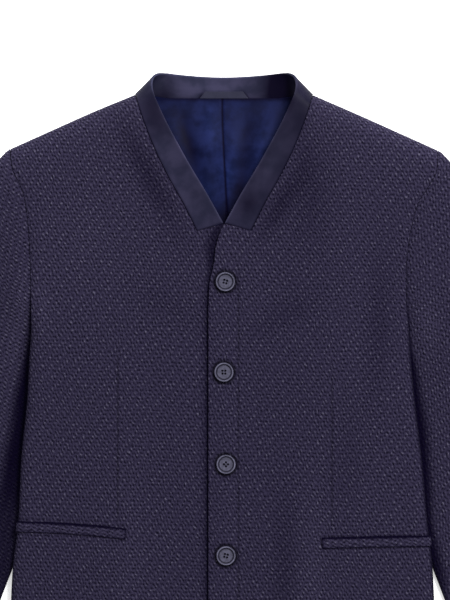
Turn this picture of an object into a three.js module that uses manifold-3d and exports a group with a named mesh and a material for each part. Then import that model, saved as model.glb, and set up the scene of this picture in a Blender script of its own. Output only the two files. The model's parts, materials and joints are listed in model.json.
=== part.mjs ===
// A collarless V-neck blazer, buttoned and laid flat with its front up.
// Millimetres. +X is the wearer's left, +Y runs from hem to neck, +Z is up from the surface it lies on.
// Every cloth piece is a thin wall over a surface(u, v), closed round its rim, with a small gap at seams.
import * as THREE from 'three';
import { mergeVertices } from 'three/addons/utils/BufferGeometryUtils.js';
import Module from 'manifold-3d';

// ---------------------------------------------------------------- driving dimensions
const hemY = -372.5;
const backNeckY = 346.5;
const neckPoint = { x: 93.6, y: 350 };
const shoulderTip = { x: 225, y: 291 };
const shoulderRoll = 18;
const shoulderMid = 17;
const sideRoll = 12;
const sideFallStart = 110;
const sideFallWidth = 95;
const liftStart = 148;
const liftWidth = 34;
const seamGap = 0.3;
const liningGap = 0.6;
const bandBackGap = 0.7;

const frontWall = 2.2;
const backWall = 2.0;
const sleeveWall = 2.0;
const bandWall = 2.4;
const liningWall = 1.0;
const labelWall = 0.8;
const weltWall = 1.3;

const frontLap = 16.5;
const lapRaise = 1.0;
const lapDip = 1.8;
const lapFadeStart = 20;
const lapFadeWidth = 28;
const hemCorner = 32;
const hemCornerSweep = 0.97;
const bandProud = 1.2;

const sleeveTuckSpare = 3;
const sleeveOuterRoll = 14;
const sleeveRise = 42;
const sleeveHeadRise = 60;
const sleevePuff = 1.2;
const sleevePuffWidth = 14;
const sleeveLowFade = 28;

const weltHeight = 10;
const weltEnd = 2.9;
const buttonX = 1;
const buttonRadius = 10.15;
const buttonHoleRadius = 1.0;
const buttonHoleOffset = 1.5;
const buttonFacets = 26;
const holeFacets = 8;
const drillLength = 8;

// ---------------------------------------------------------------- tables, one row per level
// Neckline: the band's seam, measured from the centre.
const neckline = [
  { y: 350, seam: 93.6 },
  { y: 326, seam: 85.8 },
  { y: 297, seam: 74.5 },
  { y: 268, seam: 60.7 },
  { y: 242, seam: 46.0 },
  { y: 223, seam: 36.2 },
  { y: 207, seam: 28.5 },
];

// Front edge below the V, and the faint line where its facing is stitched.
const frontEdge = [
  { y: 215, edge: 0.8, facing: 28.5 },
  { y: 207, edge: -3.6, facing: 28.5 },
  { y: 190, edge: -8.6, facing: 20.5 },
  { y: 174, edge: -10.6, facing: 16.4 },
  { y: 148, edge: -15.6, facing: 15.3 },
  { y: 120, edge: -frontLap, facing: 15.3 },
  { y: hemY, edge: -frontLap, facing: 15.3 },
];

// Armhole seam down to the underarm, then the body's side fold.
const bodyEdge = [
  { y: 291, left: 225.0, right: 225.0 },
  { y: 271, left: 223.5, right: 222.5 },
  { y: 249, left: 212.6, right: 212.6 },
  { y: 237, left: 204.8, right: 209.4 },
  { y: 212, left: 197.4, right: 206.0 },
  { y: 188, left: 193.4, right: 204.6 },
  { y: 168, left: 191.6, right: 203.7 },
  { y: 134, left: 191.6, right: 203.0 },
  { y: 107, left: 194.4, right: 203.2 },
  { y: 75, left: 196.7, right: 205.0 },
  { y: 30, left: 200.8, right: 207.4 },
  { y: -30, left: 208.0, right: 213.4 },
  { y: -100, left: 214.4, right: 217.0 },
  { y: -150, left: 220.0, right: 223.0 },
  { y: -185, left: 222.0, right: 225.0 },
  { y: -290, left: 227.0, right: 229.0 },
  { y: hemY, left: 230.0, right: 232.0 },
];

// Height of the fronts along the middle, its fall towards the side, and the lift of the underside
// where the sleeve is tucked below it.
const bodyHeights = [
  { y: 372, crown: 34.0, fall: 2.5, lift: 0 },
  { y: 290, crown: 34.0, fall: 2.5, lift: 0 },
  { y: 170, crown: 29.5, fall: 3.0, lift: 0 },
  { y: 140, crown: 28.2, fall: 3.0, lift: 3.0 },
  { y: 107, crown: 27.2, fall: 3.0, lift: 9.5 },
  { y: 30, crown: 25.5, fall: 2.5, lift: 9.5 },
  { y: -60, crown: 24.0, fall: 2.2, lift: 9.5 },
  { y: -115, crown: 22.8, fall: 2.0, lift: 9.5 },
  { y: -150, crown: 21.0, fall: 1.8, lift: 6.0 },
  { y: -190, crown: 18.8, fall: 1.5, lift: 0 },
  { y: -280, crown: 16.0, fall: 1.2, lift: 0 },
  { y: hemY, crown: 14.0, fall: 1.0, lift: 0 },
];

// Largest soft folds of the fronts: middle, half length, half width, turn from vertical, height.
const frontFolds = [
  { x: -63, y: 246, length: 48, width: 13, turn: -28, height: -1.3 },
  { x: 66, y: 244, length: 48, width: 13, turn: 28, height: -1.3 },
  { x: 70, y: 120, length: 40, width: 18, turn: -35, height: -1.2 },
  { x: 57, y: -150, length: 70, width: 13, turn: 4, height: -1.1 },
  { x: 158, y: 105, length: 85, width: 16, turn: 3, height: -1.0 },
  { x: -96, y: -150, length: 80, width: 15, turn: 0, height: 0.9 },
];

// Rows of the body: level on the armhole or side, on the front's inner border and on its edge, and
// where the row meets the back's inner border, along the back neck and down the centre back seam.
const bodyRows = [
  { outer: 291, front: 350.0, edge: 350, backX: 93.6, backY: 350.0 },
  { outer: 271.3, front: 330.3, edge: 330.3, backX: 58, backY: 346.6 },
  { outer: 252, front: 313, edge: 313, backX: 30, backY: backNeckY },
  { outer: 229, front: 290, edge: 290, backX: 0, backY: backNeckY },
  { outer: 205, front: 264, edge: 264, backX: 0, backY: 300 },
  { outer: 180, front: 235, edge: 235, backX: 0, backY: 245 },
  { outer: 155, front: 207, edge: 215, backX: 0, backY: 195 },
  { outer: 138, front: 190, edge: 195, backX: 0, backY: 163 },
  { outer: 121, front: 170, edge: 174, backX: 0, backY: 135 },
  { outer: 104, front: 146, edge: 148, backX: 0, backY: 110 },
  { outer: 86, front: 114, edge: 114, backX: 0, backY: 86 },
  { outer: 62, front: 75, edge: 75, backX: 0, backY: 62 },
  { outer: 28, front: 32, edge: 32, backX: 0, backY: 28 },
  ...[-12, -56, -96, -130, -165, -205, -255, -300, -340.5, -357, -367, hemY].map((y) => (
    { outer: y, front: y, edge: y, backX: 0, backY: y }
  )),
];
const rowAtV = 6;
const rowAtSideTop = 5.7;
// Rows of the back below its armhole, further apart where it is straight.
const backSeamRows = [rowAtSideTop, 6, 7, 8, 9, 10, 11, 12, 14, 16, 18, 20, 22, 24];

// Seam of back and side panel: its distance from the centre, and how far it follows the armhole.
const sideSeam = [
  { y: 166, x: 176, onEdge: 1 },
  { y: 150, x: 165, onEdge: 0.42 },
  { y: 125, x: 150, onEdge: 0.1 },
  { y: 95, x: 142, onEdge: 0 },
  { y: 30, x: 138, onEdge: 0 },
  { y: -100, x: 138, onEdge: 0 },
  { y: hemY, x: 146, onEdge: 0 },
];

// Sleeve sections: level of the inner border, how far it lies under the body's edge, how much of it is
// still joined to the armhole, how thick it is pressed there, the outer fold, and the tube's height.
const sleeveRows = [
  { level: 291.0, under: -0.5, joined: 1, pressed: 8, outX: 233.0, outY: 284.5, crest: 34 },
  { level: 271.3, under: -0.1, joined: 1, pressed: 8, outX: 250.5, outY: 265.5, crest: 33 },
  { level: 252, under: 0, joined: 1, pressed: 8, outX: 268.0, outY: 244.0, crest: 31.5 },
  { level: 229, under: 0, joined: 1, pressed: 8, outX: 284.0, outY: 220.5, crest: 30 },
  { level: 205, under: 0, joined: 1, pressed: 8, outX: 297.0, outY: 196.5, crest: 28 },
  { level: 180, under: 0, joined: 1, pressed: 8, outX: 308.0, outY: 170.5, crest: 25.5 },
  { level: 155, under: 0, joined: 0.98, pressed: 8, outX: 316.0, outY: 145.0, crest: 22.5 },
  { level: 138, under: 0, joined: 0.84, pressed: 8, outX: 320.5, outY: 126.0, crest: 20 },
  { level: 121, under: -0.3, joined: 0.5, pressed: 8, outX: 325.5, outY: 105.0, crest: 17.5 },
  { level: 104, under: -1.2, joined: 0.1, pressed: 8, outX: 330.5, outY: 84.0, crest: 15.5 },
  { level: 86, under: 8, joined: 0, pressed: 7.6, outX: 336.0, outY: 61.5, crest: 13.5 },
  { level: 55, under: 17, joined: 0, pressed: 7.6, outX: 346.0, outY: 20.0, crest: 11.5 },
  { level: 8, under: 19.5, joined: 0, pressed: 7.6, outX: 358.0, outY: -29.0, crest: 9.5 },
  { level: -55, under: 17.5, joined: 0, pressed: 7.6, outX: 372.5, outY: -88.0, crest: 8.4 },
  { level: -107, under: 9, joined: 0, pressed: 7.6, outX: 385.0, outY: -140.0, crest: 8 },
  { level: -151, under: -0.8, joined: 0, pressed: 7.6, outX: 394.5, outY: -180.0, crest: 7.9 },
  { level: -215, under: -22, joined: 0, pressed: 7.6, outX: 406.5, outY: -229.0, crest: 7.9 },
  { level: -285, under: -43, joined: 0, pressed: 7.6, outX: 417.0, outY: -273.0, crest: 7.9 },
  { level: -350.5, under: -63, joined: 0, pressed: 7.6, outX: 425.4, outY: -307.0, crest: 7.9 },
];

// Neckband sections by body row: from the centre back to the neck point, with the free edge's place,
// then down the front to the V, with the free edge's rise over the front.
const bandBack = [
  { row: 3, neckX: 0, neckY: 368.2, neckZ: 3.5 },
  { row: 2, neckX: 28, neckY: 369.3, neckZ: 4.2 },
  { row: 1, neckX: 50, neckY: 371.2, neckZ: 6.0 },
  { row: 2 / 3, neckX: 62, neckY: 372.4, neckZ: 10 },
  { row: 1 / 3, neckX: 70, neckY: 371.8, neckZ: 17 },
  { row: 0, neckX: 75, neckY: 368, neckZ: 25 },
];
const bandFront = [
  { row: 1 / 3, neckX: 76.2, neckY: 361.5, rise: -1.5 },
  { row: 2 / 3, neckX: 73.8, neckY: 351, rise: 0.6 },
  { row: 1, neckX: 69.0, neckY: 339.5, rise: bandProud },
  { row: 2, neckX: 60.5, neckY: 321.5, rise: bandProud },
  { row: 3, neckX: 49.0, neckY: 299.8, rise: bandProud },
  { row: 4, neckX: 35.4, neckY: 275.5, rise: bandProud },
  { row: 5, neckX: 17.8, neckY: 246.2, rise: bandProud },
  { row: 6, neckX: 0.8, neckY: 215, rise: bandProud },
];

// Rows of a half of the back lining that the neck shows, and its soft folds.
const liningRows = [
  { y: 346.2, half: 64 },
  { y: 338, half: 80 },
  { y: 322, half: 96 },
  { y: 290, half: 100 },
  { y: 255, half: 100 },
  { y: 220, half: 100 },
  { y: 185, half: 100 },
];
const liningFolds = [
  { x: 26, width: 7, height: 2.2 },
  { x: 54, width: 8, height: 1.6 },
  { x: -20, width: 7, height: 1.6 },
  { x: -46, width: 9, height: 2.0 },
];
const liningFoldFade = 30;

// Pocket welts: where they start, and the level of the upper edge at both ends.
const pockets = {
  left: { start: 102.8, startY: -117.2, endY: -114.6 },
  right: { start: 102.9, startY: -107.2, endY: -100.2 },
};

const label = { low: 347.4, high: 354.6, lowHalf: 25.8, highHalf: 20.1 };

const buttonLevels = [153.5, 58.7, -38.2, -134.0];
// Half section of a button: radius and height, from its back over the rim to its dish.
const buttonSection = [
  [0, 0], [8.6, 0], [9.8, 0.9], [buttonRadius, 2.0], [9.7, 3.2], [8.8, 3.7], [7.8, 3.2], [6.6, 2.3], [0, 2.1],
];

const colours = { wool: 0x2e2b3e, satin: 0x34314a, lining: 0x1e2347, button: 0x42415a, label: 0x4a475a };

// ---------------------------------------------------------------- small helpers
const quarter = Math.PI / 2;
const clamp01 = (t) => Math.min(1, Math.max(0, t));
const mix = (a, b, t) => a + (b - a) * t;
const degrees = (angle) => (angle * Math.PI) / 180;

function ease(t) {
  const c = clamp01(t);
  return c * c * (3 - 2 * c);
}

// A smooth curve through one column of a table that is sorted by key, with no overshoot.
function read(table, key, at, column) {
  const down = table[0][key] > table[1][key] ? -1 : 1;
  let i = 0;
  while (i < table.length - 2 && (at - table[i + 1][key]) * down > 0) i += 1;
  const slope = (j) => (table[j + 1][column] - table[j][column]) / (table[j + 1][key] - table[j][key]);
  const bend = (j) => {
    if (j === 0) return slope(0);
    if (j === table.length - 1) return slope(j - 1);
    const before = slope(j - 1);
    const after = slope(j);
    return before * after > 0 ? (2 * before * after) / (before + after) : 0;
  };
  const start = table[i][column];
  const end = table[i + 1][column];
  const width = table[i + 1][key] - table[i][key];
  const t = clamp01((at - table[i][key]) / width);
  const leave = bend(i) * width - (end - start);
  const arrive = end - start - bend(i + 1) * width;
  return mix(start, end, t) + t * (1 - t) * mix(leave, arrive, t);
}

// A column at a fractional row number. The first span is a quarter round.
function atRow(rows, v, column) {
  const i = Math.min(rows.length - 2, Math.max(0, Math.floor(v)));
  const t = i === 0 ? 1 - Math.cos(clamp01(v) * quarter) : clamp01(v - i);
  return mix(rows[i][column], rows[i + 1][column], t);
}

function steps(from, to, parts) {
  return Array.from({ length: parts + 1 }, (_, i) => mix(from, to, i / parts));
}

// ---------------------------------------------------------------- wall over a surface
// surface(u, v) gives a point, facing is 1 or -1 so that the normal points out of the garment.
function normalAt(surface, u, v, facing, us, vs) {
  const small = 1e-3;
  const point = (a, b) => surface(
    Math.min(us[us.length - 1], Math.max(us[0], a)),
    Math.min(vs[vs.length - 1], Math.max(vs[0], b)),
  );
  const alongU = point(u + small, v).sub(point(u - small, v));
  const alongV = point(u, v + small).sub(point(u, v - small));
  return alongU.cross(alongV).normalize().multiplyScalar(facing);
}

// Both faces of the cloth over a grid, without the cells that keep() leaves out, and the rim between.
function wall(name, colour, { surface, us, vs, thickness, facing, keep = () => true }) {
  const outer = [];
  const inner = [];
  for (const v of vs) {
    for (const u of us) {
      const p = surface(u, v);
      const n = normalAt(surface, u, v, facing, us, vs);
      outer.push(p);
      inner.push(p.clone().addScaledVector(n, -thickness));
    }
  }
  const faces = [];
  const columns = us.length;
  for (let j = 0; j < vs.length - 1; j += 1) {
    for (let i = 0; i < columns - 1; i += 1) {
      if (!keep(us[i], vs[j])) continue;
      const a = j * columns + i;
      const quad = [a, a + 1, a + columns + 1, a + columns];
      if (facing < 0) quad.reverse();
      faces.push([quad[0], quad[1], quad[2]], [quad[0], quad[2], quad[3]]);
    }
  }
  const sides = new Set(faces.flatMap(([a, b, c]) => [`${a} ${b}`, `${b} ${c}`, `${c} ${a}`]));
  const positions = [];
  const add = (...points) => points.forEach((p) => positions.push(p.x, p.y, p.z));
  for (const [a, b, c] of faces) {
    add(outer[a], outer[b], outer[c]);
    add(inner[a], inner[c], inner[b]);
    for (const [from, to] of [[a, b], [b, c], [c, a]]) {
      if (sides.has(`${to} ${from}`)) continue;
      add(outer[to], outer[from], inner[from]);
      add(outer[to], inner[from], inner[to]);
    }
  }
  const geometry = new THREE.BufferGeometry();
  geometry.setAttribute('position', new THREE.Float32BufferAttribute(positions, 3));
  return piece(name, mergeVertices(geometry, 1e-4), colour);
}

function piece(name, geometry, colour, roughness = 0.85) {
  geometry.computeVertexNormals();
  const mesh = new THREE.Mesh(
    geometry,
    new THREE.MeshStandardMaterial({ color: colour, roughness, metalness: 0 }),
  );
  mesh.name = name;
  return mesh;
}

// ---------------------------------------------------------------- the body's two layers
const shoulderSlope = (neckPoint.y - shoulderTip.y) / (shoulderTip.x - neckPoint.x);

// 0 on the shoulder's outline, 1 where its quarter round ends.
function shoulderRound(x, y) {
  const line = neckPoint.y - shoulderSlope * (x - neckPoint.x);
  const away = (line - y) / Math.hypot(1, shoulderSlope);
  const rest = 1 - clamp01(away / shoulderRoll);
  return Math.sqrt(1 - rest * rest);
}

function foldHeight(x, y) {
  let sum = 0;
  for (const fold of frontFolds) {
    const turn = degrees(fold.turn);
    const across = (x - fold.x) * Math.cos(turn) - (y - fold.y) * Math.sin(turn);
    const along = (x - fold.x) * Math.sin(turn) + (y - fold.y) * Math.cos(turn);
    sum += fold.height * Math.exp(-((across / fold.width) ** 2) - (along / fold.length) ** 2);
  }
  return sum;
}

// Face of a front. x is measured from the centre towards its own side, 'left' or 'right'.
function topHeight(side, x, y) {
  const fall = read(bodyHeights, 'y', y, 'fall') * ease((x - sideFallStart) / sideFallWidth);
  const lap = (side === 'left' ? lapRaise : -lapDip) * (1 - ease((x - lapFadeStart) / lapFadeWidth));
  const flat = read(bodyHeights, 'y', y, 'crown') - fall + lap + foldHeight(side === 'left' ? x : -x, y);
  return mix(shoulderMid + seamGap / 2, flat, shoulderRound(x, y));
}

// Underside of the back and of the side panel.
function lowHeight(x, y) {
  const lift = read(bodyHeights, 'y', y, 'lift') * ease((x - liftStart) / liftWidth);
  return mix(shoulderMid - seamGap / 2, lift, shoulderRound(x, y));
}

// 0 along the armhole, 1 where the side fold closes the body.
const sideClosed = (y) => ease((118 - y) / 30);

function place(side, x, y, z) {
  return new THREE.Vector3(side === 'left' ? x : -x, y, z);
}

// How far the rounded corner at the hem cuts the front edge back.
function cornerCut(y) {
  const down = clamp01((hemY + hemCorner - y) / hemCorner);
  return hemCorner * (1 - Math.sqrt(1 - (hemCornerSweep * down) ** 2));
}

// Front: u runs 0..1 over the edge's facing, 1..2 on to the side, 2..3 round the side fold.
function frontSurface(side) {
  return (u, row) => {
    const onFacing = u < 1 && row > rowAtV - 0.01;
    const v = onFacing ? Math.max(row, rowAtV) : row;
    const innerY = atRow(bodyRows, v, 'front');
    const innerX = seamGap / 2 + cornerCut(innerY)
      + (v < rowAtV ? read(neckline, 'y', innerY, 'seam') : read(frontEdge, 'y', innerY, 'facing'));
    if (onFacing) {
      const edgeY = atRow(bodyRows, v, 'edge');
      const edgeX = read(frontEdge, 'y', edgeY, 'edge') + cornerCut(edgeY);
      const x = mix(edgeX, innerX, u);
      const y = mix(edgeY, innerY, u);
      return place(side, x, y, topHeight(side, x, y));
    }
    const outerY = atRow(bodyRows, v, 'outer');
    const closed = sideClosed(outerY);
    const outerX = read(bodyEdge, 'y', outerY, side) - (seamGap / 2) * (1 - closed);
    const reach = 1 - sideRoll / Math.hypot(outerX - innerX, outerY - innerY);
    const s = clamp01(u - 2);
    const t = u < 2 ? (u - 1) * reach : mix(reach, 1, mix(s, Math.sin(s * quarter), closed));
    const x = mix(innerX, outerX, t);
    const y = mix(innerY, outerY, t);
    const face = topHeight(side, x, y);
    const fold = (face + lowHeight(x, y) + seamGap) / 2;
    return place(side, x, y, mix(face, fold, closed * (1 - Math.cos(s * quarter))));
  };
}

function sideSeamX(side, y) {
  return mix(read(sideSeam, 'y', y, 'x'), read(bodyEdge, 'y', y, side), read(sideSeam, 'y', y, 'onEdge'));
}

// Side panel: u runs 0..1 from the back's seam, 1..2 round the lower half of the side fold.
function sideSurface(side) {
  return (u, v) => {
    const y = atRow(bodyRows, v, 'outer');
    const closed = sideClosed(y);
    const seam = sideSeamX(side, y) + seamGap / 2;
    const edge = read(bodyEdge, 'y', y, side) - (seamGap / 2) * (1 - closed);
    const roll = Math.min(sideRoll, (edge - seam) / 2);
    const s = clamp01(u - 1);
    const x = u < 1 ? mix(seam, edge - roll, u) : edge - roll + roll * mix(s, Math.sin(s * quarter), closed);
    const low = lowHeight(x, y);
    const fold = (topHeight(side, x, y) + low - seamGap) / 2;
    return place(side, x, y, mix(low, fold, closed * (1 - Math.cos(s * quarter))));
  };
}

// Back half: u runs 0..1 from the neck or centre seam out to the armhole or the side panel.
function backSurface(side) {
  return (u, v) => {
    const innerX = atRow(bodyRows, v, 'backX') + seamGap / 2;
    const innerY = Math.min(atRow(bodyRows, v, 'backY'), neckPoint.y - seamGap);
    const outerY = atRow(bodyRows, v, 'outer');
    const armhole = v < rowAtSideTop - 0.01;
    const outerX = (armhole ? read(bodyEdge, 'y', outerY, side) : sideSeamX(side, outerY)) - seamGap / 2;
    const x = mix(innerX, outerX, u);
    const y = mix(innerY, outerY, u);
    return place(side, x, y, lowHeight(x, y));
  };
}

// ---------------------------------------------------------------- sleeves
// One section of a sleeve: its borders in plan and the heights that it starts from.
function sleeveSection(side, v) {
  const row = (column) => atRow(sleeveRows, v, column);
  const innerY = row('level');
  const armX = read(bodyEdge, 'y', innerY, side);
  const innerX = armX - row('under') + seamGap / 2;
  const width = Math.hypot(row('outX') - innerX, row('outY') - innerY);
  return {
    innerX,
    innerY,
    outX: row('outX'),
    outY: row('outY'),
    width,
    joined: row('joined'),
    pressed: row('pressed'),
    crest: row('crest'),
    tuck: Math.max(0, row('under')) + sleeveTuckSpare,
    innerRoll: Math.min(row('pressed') * 0.6, width * 0.3),
    outerRoll: Math.min(sleeveOuterRoll, width * 0.5),
    armTop: topHeight(side, armX, innerY),
    armLow: lowHeight(armX, innerY),
  };
}

// Distance from the inner border: u runs 0..1 round the inner fold, 1..2 across, 2..3 round the outer.
function sleeveAway(c, u) {
  if (u < 1) return c.innerRoll * mix(1 - Math.cos(u * quarter), u, c.joined);
  if (u < 2) return mix(c.innerRoll, c.width - c.outerRoll, u - 1);
  return c.width - c.outerRoll * (1 - Math.sin((u - 2) * quarter));
}

function sleeveSurface(side, layer) {
  const up = layer === 'top' ? 1 : -1;
  return (u, v) => {
    const c = sleeveSection(side, v);
    const away = sleeveAway(c, u);
    const x = mix(c.innerX, c.outX, away / c.width);
    const y = mix(c.innerY, c.outY, away / c.width);
    const turned = 1 - Math.sin(Math.min(1, u) * quarter);
    const innerFold = (c.pressed + up * seamGap) / 2;
    const outerFold = (c.crest + up * seamGap) / 2;
    let tucked = 0;
    let head = c.armLow * (1 - ease(away / sleeveLowFade));
    if (layer === 'top') {
      const puff = sleevePuff * ease(away / sleevePuffWidth);
      tucked = mix(c.pressed, c.crest, ease((away - c.tuck) / sleeveRise));
      head = c.armTop + puff + (c.crest - c.armTop - puff) * ease(away / sleeveHeadRise);
    }
    const flat = mix(mix(tucked, innerFold, turned), head, c.joined);
    return place(side, x, y, mix(flat, outerFold, 1 - Math.cos(clamp01(u - 2) * quarter)));
  };
}

// ---------------------------------------------------------------- neckband and label
// Sections of the band on one side, from the centre back to the V, as pairs of points.
function bandSections(side) {
  const back = bandBack.map((row) => {
    const x = atRow(bodyRows, row.row, 'backX');
    const y = atRow(bodyRows, row.row, 'backY');
    return {
      seam: place(side, x, y + bandBackGap, lowHeight(x, y)),
      neck: place(side, row.neckX, row.neckY, row.neckZ),
    };
  });
  const front = bandFront.map((row) => {
    const level = atRow(bodyRows, row.row, 'front');
    const x = read(neckline, 'y', level, 'seam') - seamGap / 2;
    const atEnd = row.row === rowAtV ? seamGap : 0;
    return {
      seam: place(side, x, level + atEnd, topHeight(side, x, level)),
      neck: place(side, row.neckX, row.neckY + atEnd, topHeight(side, row.neckX, level) + row.rise),
    };
  });
  return back.concat(front);
}

const bandLast = bandBack.length + bandFront.length - 1;
const bandHalves = { left: bandSections('left'), right: bandSections('right') };
const bandChain = bandHalves.right.slice(1).reverse().concat(bandHalves.left);
const bandSeam = new THREE.CatmullRomCurve3(bandChain.map((section) => section.seam));
const bandNeck = new THREE.CatmullRomCurve3(bandChain.map((section) => section.neck));

// Band: u runs from the seam to the free edge, v from -bandLast at the right end to bandLast.
function bandSurface(u, v) {
  const t = clamp01((v + bandLast) / (2 * bandLast));
  return bandSeam.getPoint(t).lerp(bandNeck.getPoint(t), u);
}

// Label on the inner face of the band: a runs -1..1 along it, b runs 0..1 up.
function labelSurface(a, b) {
  const bandWidth = bandBack[0].neckY - backNeckY - bandBackGap;
  const u = (mix(label.low, label.high, b) - backNeckY - bandBackGap) / bandWidth;
  const v = (a * mix(label.lowHalf, label.highHalf, b)) / bodyRows[2].backX;
  const p = bandSurface(u, v);
  p.z += bandWall + seamGap + labelWall;
  return p;
}

// ---------------------------------------------------------------- lining, welts and buttons
function liningSurface(side) {
  return (u, v) => {
    const x = mix(seamGap / 2, atRow(liningRows, v, 'half'), u);
    const y = atRow(liningRows, v, 'y');
    const own = side === 'left' ? x : -x;
    let z = lowHeight(x, y) + backWall + liningGap + liningWall;
    for (const fold of liningFolds) {
      const rise = fold.height * ease((liningRows[0].y - y) / liningFoldFade);
      z += rise * Math.exp(-(((own - fold.x) / fold.width) ** 2));
    }
    return place(side, x, y, z);
  };
}

// Row number of a level below the chest, where a front's rows are level.
function rowOfLevel(y) {
  const i = bodyRows.findIndex((row) => row.outer < y) - 1;
  return i + (bodyRows[i].outer - y) / (bodyRows[i].outer - bodyRows[i + 1].outer);
}

// Where a welt starts, as u on the front.
function weltStart(side) {
  const { start, startY } = pockets[side];
  const inner = read(frontEdge, 'y', startY, 'facing') + seamGap / 2;
  const flatEnd = read(bodyEdge, 'y', startY, side) - sideRoll;
  return 1 + (start - inner) / (flatEnd - inner);
}

// Welt: the front's own points moved out. u runs along the front and round its fold, b runs 0..1 down.
function weltSurface(side, facing, us, vs) {
  const front = frontSurface(side);
  const pocket = pockets[side];
  const first = weltStart(side);
  return (u, b) => {
    const along = (u - first) / (weltEnd - first);
    const v = rowOfLevel(mix(pocket.startY, pocket.endY, along) - weltHeight * b);
    const n = normalAt(front, u, v, facing, us, vs);
    return front(u, v).addScaledVector(n, seamGap + weltWall);
  };
}

const wasm = await Module();
wasm.setup();

function toSolid(geometry) {
  const bare = geometry.clone();
  bare.deleteAttribute('normal');
  bare.deleteAttribute('uv');
  const merged = mergeVertices(bare, 1e-4);
  return new wasm.Manifold(new wasm.Mesh({
    numProp: 3,
    vertProperties: new Float32Array(merged.attributes.position.array),
    triVerts: new Uint32Array(merged.index.array),
  }));
}

// A turned disc with a raised rim and four holes, its back on z = 0.
function buttonGeometry() {
  const profile = buttonSection.map(([r, z]) => new THREE.Vector2(r, z));
  const disc = new THREE.LatheGeometry(profile, buttonFacets).rotateX(quarter);
  let solid = toSolid(disc);
  for (const [sx, sy] of [[1, 1], [-1, 1], [-1, -1], [1, -1]]) {
    const drill = new THREE.CylinderGeometry(buttonHoleRadius, buttonHoleRadius, drillLength, holeFacets)
      .rotateX(quarter)
      .translate(sx * buttonHoleOffset, sy * buttonHoleOffset, 0);
    solid = solid.subtract(toSolid(drill));
  }
  const mesh = solid.getMesh();
  const geometry = new THREE.BufferGeometry();
  geometry.setAttribute('position', new THREE.BufferAttribute(new Float32Array(mesh.vertProperties), 3));
  geometry.setIndex(new THREE.BufferAttribute(new Uint32Array(mesh.triVerts), 1));
  return geometry;
}

// ---------------------------------------------------------------- the garment
const blazer = new THREE.Group();
const lastRow = bodyRows.length - 1;
const shoulderSteps = steps(0, 1, 3).slice(0, 3);
const wholeRows = (from, to) => steps(from, to, to - from);

for (const side of ['left', 'right']) {
  // Mirroring a surface turns it over, so the side sets which way its grid faces.
  const upward = side === 'left' ? -1 : 1;
  const frontUs = [...steps(0, 1, 2), ...steps(1, 2, 6).slice(1), ...steps(2, 3, 3).slice(1)];
  const frontVs = [...shoulderSteps, ...wholeRows(1, lastRow)];
  blazer.add(wall(`front_${side}`, colours.wool, {
    surface: frontSurface(side),
    us: frontUs,
    vs: frontVs,
    thickness: frontWall,
    facing: upward,
    keep: (u, v) => u >= 1 || v >= rowAtV,
  }));
  blazer.add(wall(`side_${side}`, colours.wool, {
    surface: sideSurface(side),
    us: [...steps(0, 1, 3), ...steps(1, 2, 3).slice(1)],
    vs: [rowAtSideTop, ...wholeRows(rowAtV, lastRow)],
    thickness: backWall,
    facing: -upward,
  }));
  blazer.add(wall(`back_${side}`, colours.wool, {
    surface: backSurface(side),
    us: steps(0, 1, 7),
    vs: [...shoulderSteps, ...wholeRows(1, rowAtV - 1), ...backSeamRows],
    thickness: backWall,
    facing: -upward,
  }));
  for (const layer of ['top', 'under']) {
    blazer.add(wall(`sleeve_${side}_${layer}`, colours.wool, {
      surface: sleeveSurface(side, layer),
      us: [...steps(0, 1, 3), ...steps(1, 2, layer === 'top' ? 5 : 2).slice(1), ...steps(2, 3, 3).slice(1)],
      vs: [...shoulderSteps, ...wholeRows(1, sleeveRows.length - 1)],
      thickness: sleeveWall,
      facing: layer === 'top' ? upward : -upward,
    }));
  }
  blazer.add(wall(`lining_back_${side}`, colours.lining, {
    surface: liningSurface(side),
    us: steps(0, 1, 8),
    vs: wholeRows(0, liningRows.length - 1),
    thickness: liningWall,
    facing: upward,
  }));
  blazer.add(wall(`welt_${side}`, colours.wool, {
    surface: weltSurface(side, upward, frontUs, frontVs),
    us: [...steps(weltStart(side), 2, 4), 2 + 1 / 3, 2 + 2 / 3, weltEnd],
    vs: steps(0, 1, 2),
    thickness: weltWall,
    facing: upward,
  }));
}

blazer.add(wall('neckband', colours.satin, {
  surface: bandSurface,
  us: steps(0, 1, 3),
  vs: wholeRows(-bandLast, bandLast),
  thickness: bandWall,
  facing: 1,
}));
blazer.add(wall('label', colours.label, {
  surface: labelSurface,
  us: steps(-1, 1, 4),
  vs: steps(0, 1, 2),
  thickness: labelWall,
  facing: 1,
}));

buttonLevels.forEach((y, i) => {
  const button = piece(`button_${i + 1}`, buttonGeometry(), colours.button, 0.45);
  const rise = (topHeight('left', buttonX, y + 1) - topHeight('left', buttonX, y - 1)) / 2;
  const out = new THREE.Vector3(0, -rise, 1).normalize();
  button.quaternion.setFromUnitVectors(new THREE.Vector3(0, 0, 1), out);
  button.position.set(buttonX, y, topHeight('left', buttonX, y)).addScaledVector(out, seamGap);
  blazer.add(button);
});

export default blazer;
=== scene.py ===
"""A collarless V-neck blazer in textured wool, buttoned and laid flat with its front up.

The garment's sizes are millimetres, as a tailor's are, and each mesh is turned to metres when it is made.
+X is the wearer's left, +Y runs from hem to neck, +Z is up from the floor that it lies on.
"""

import json
import math

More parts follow.
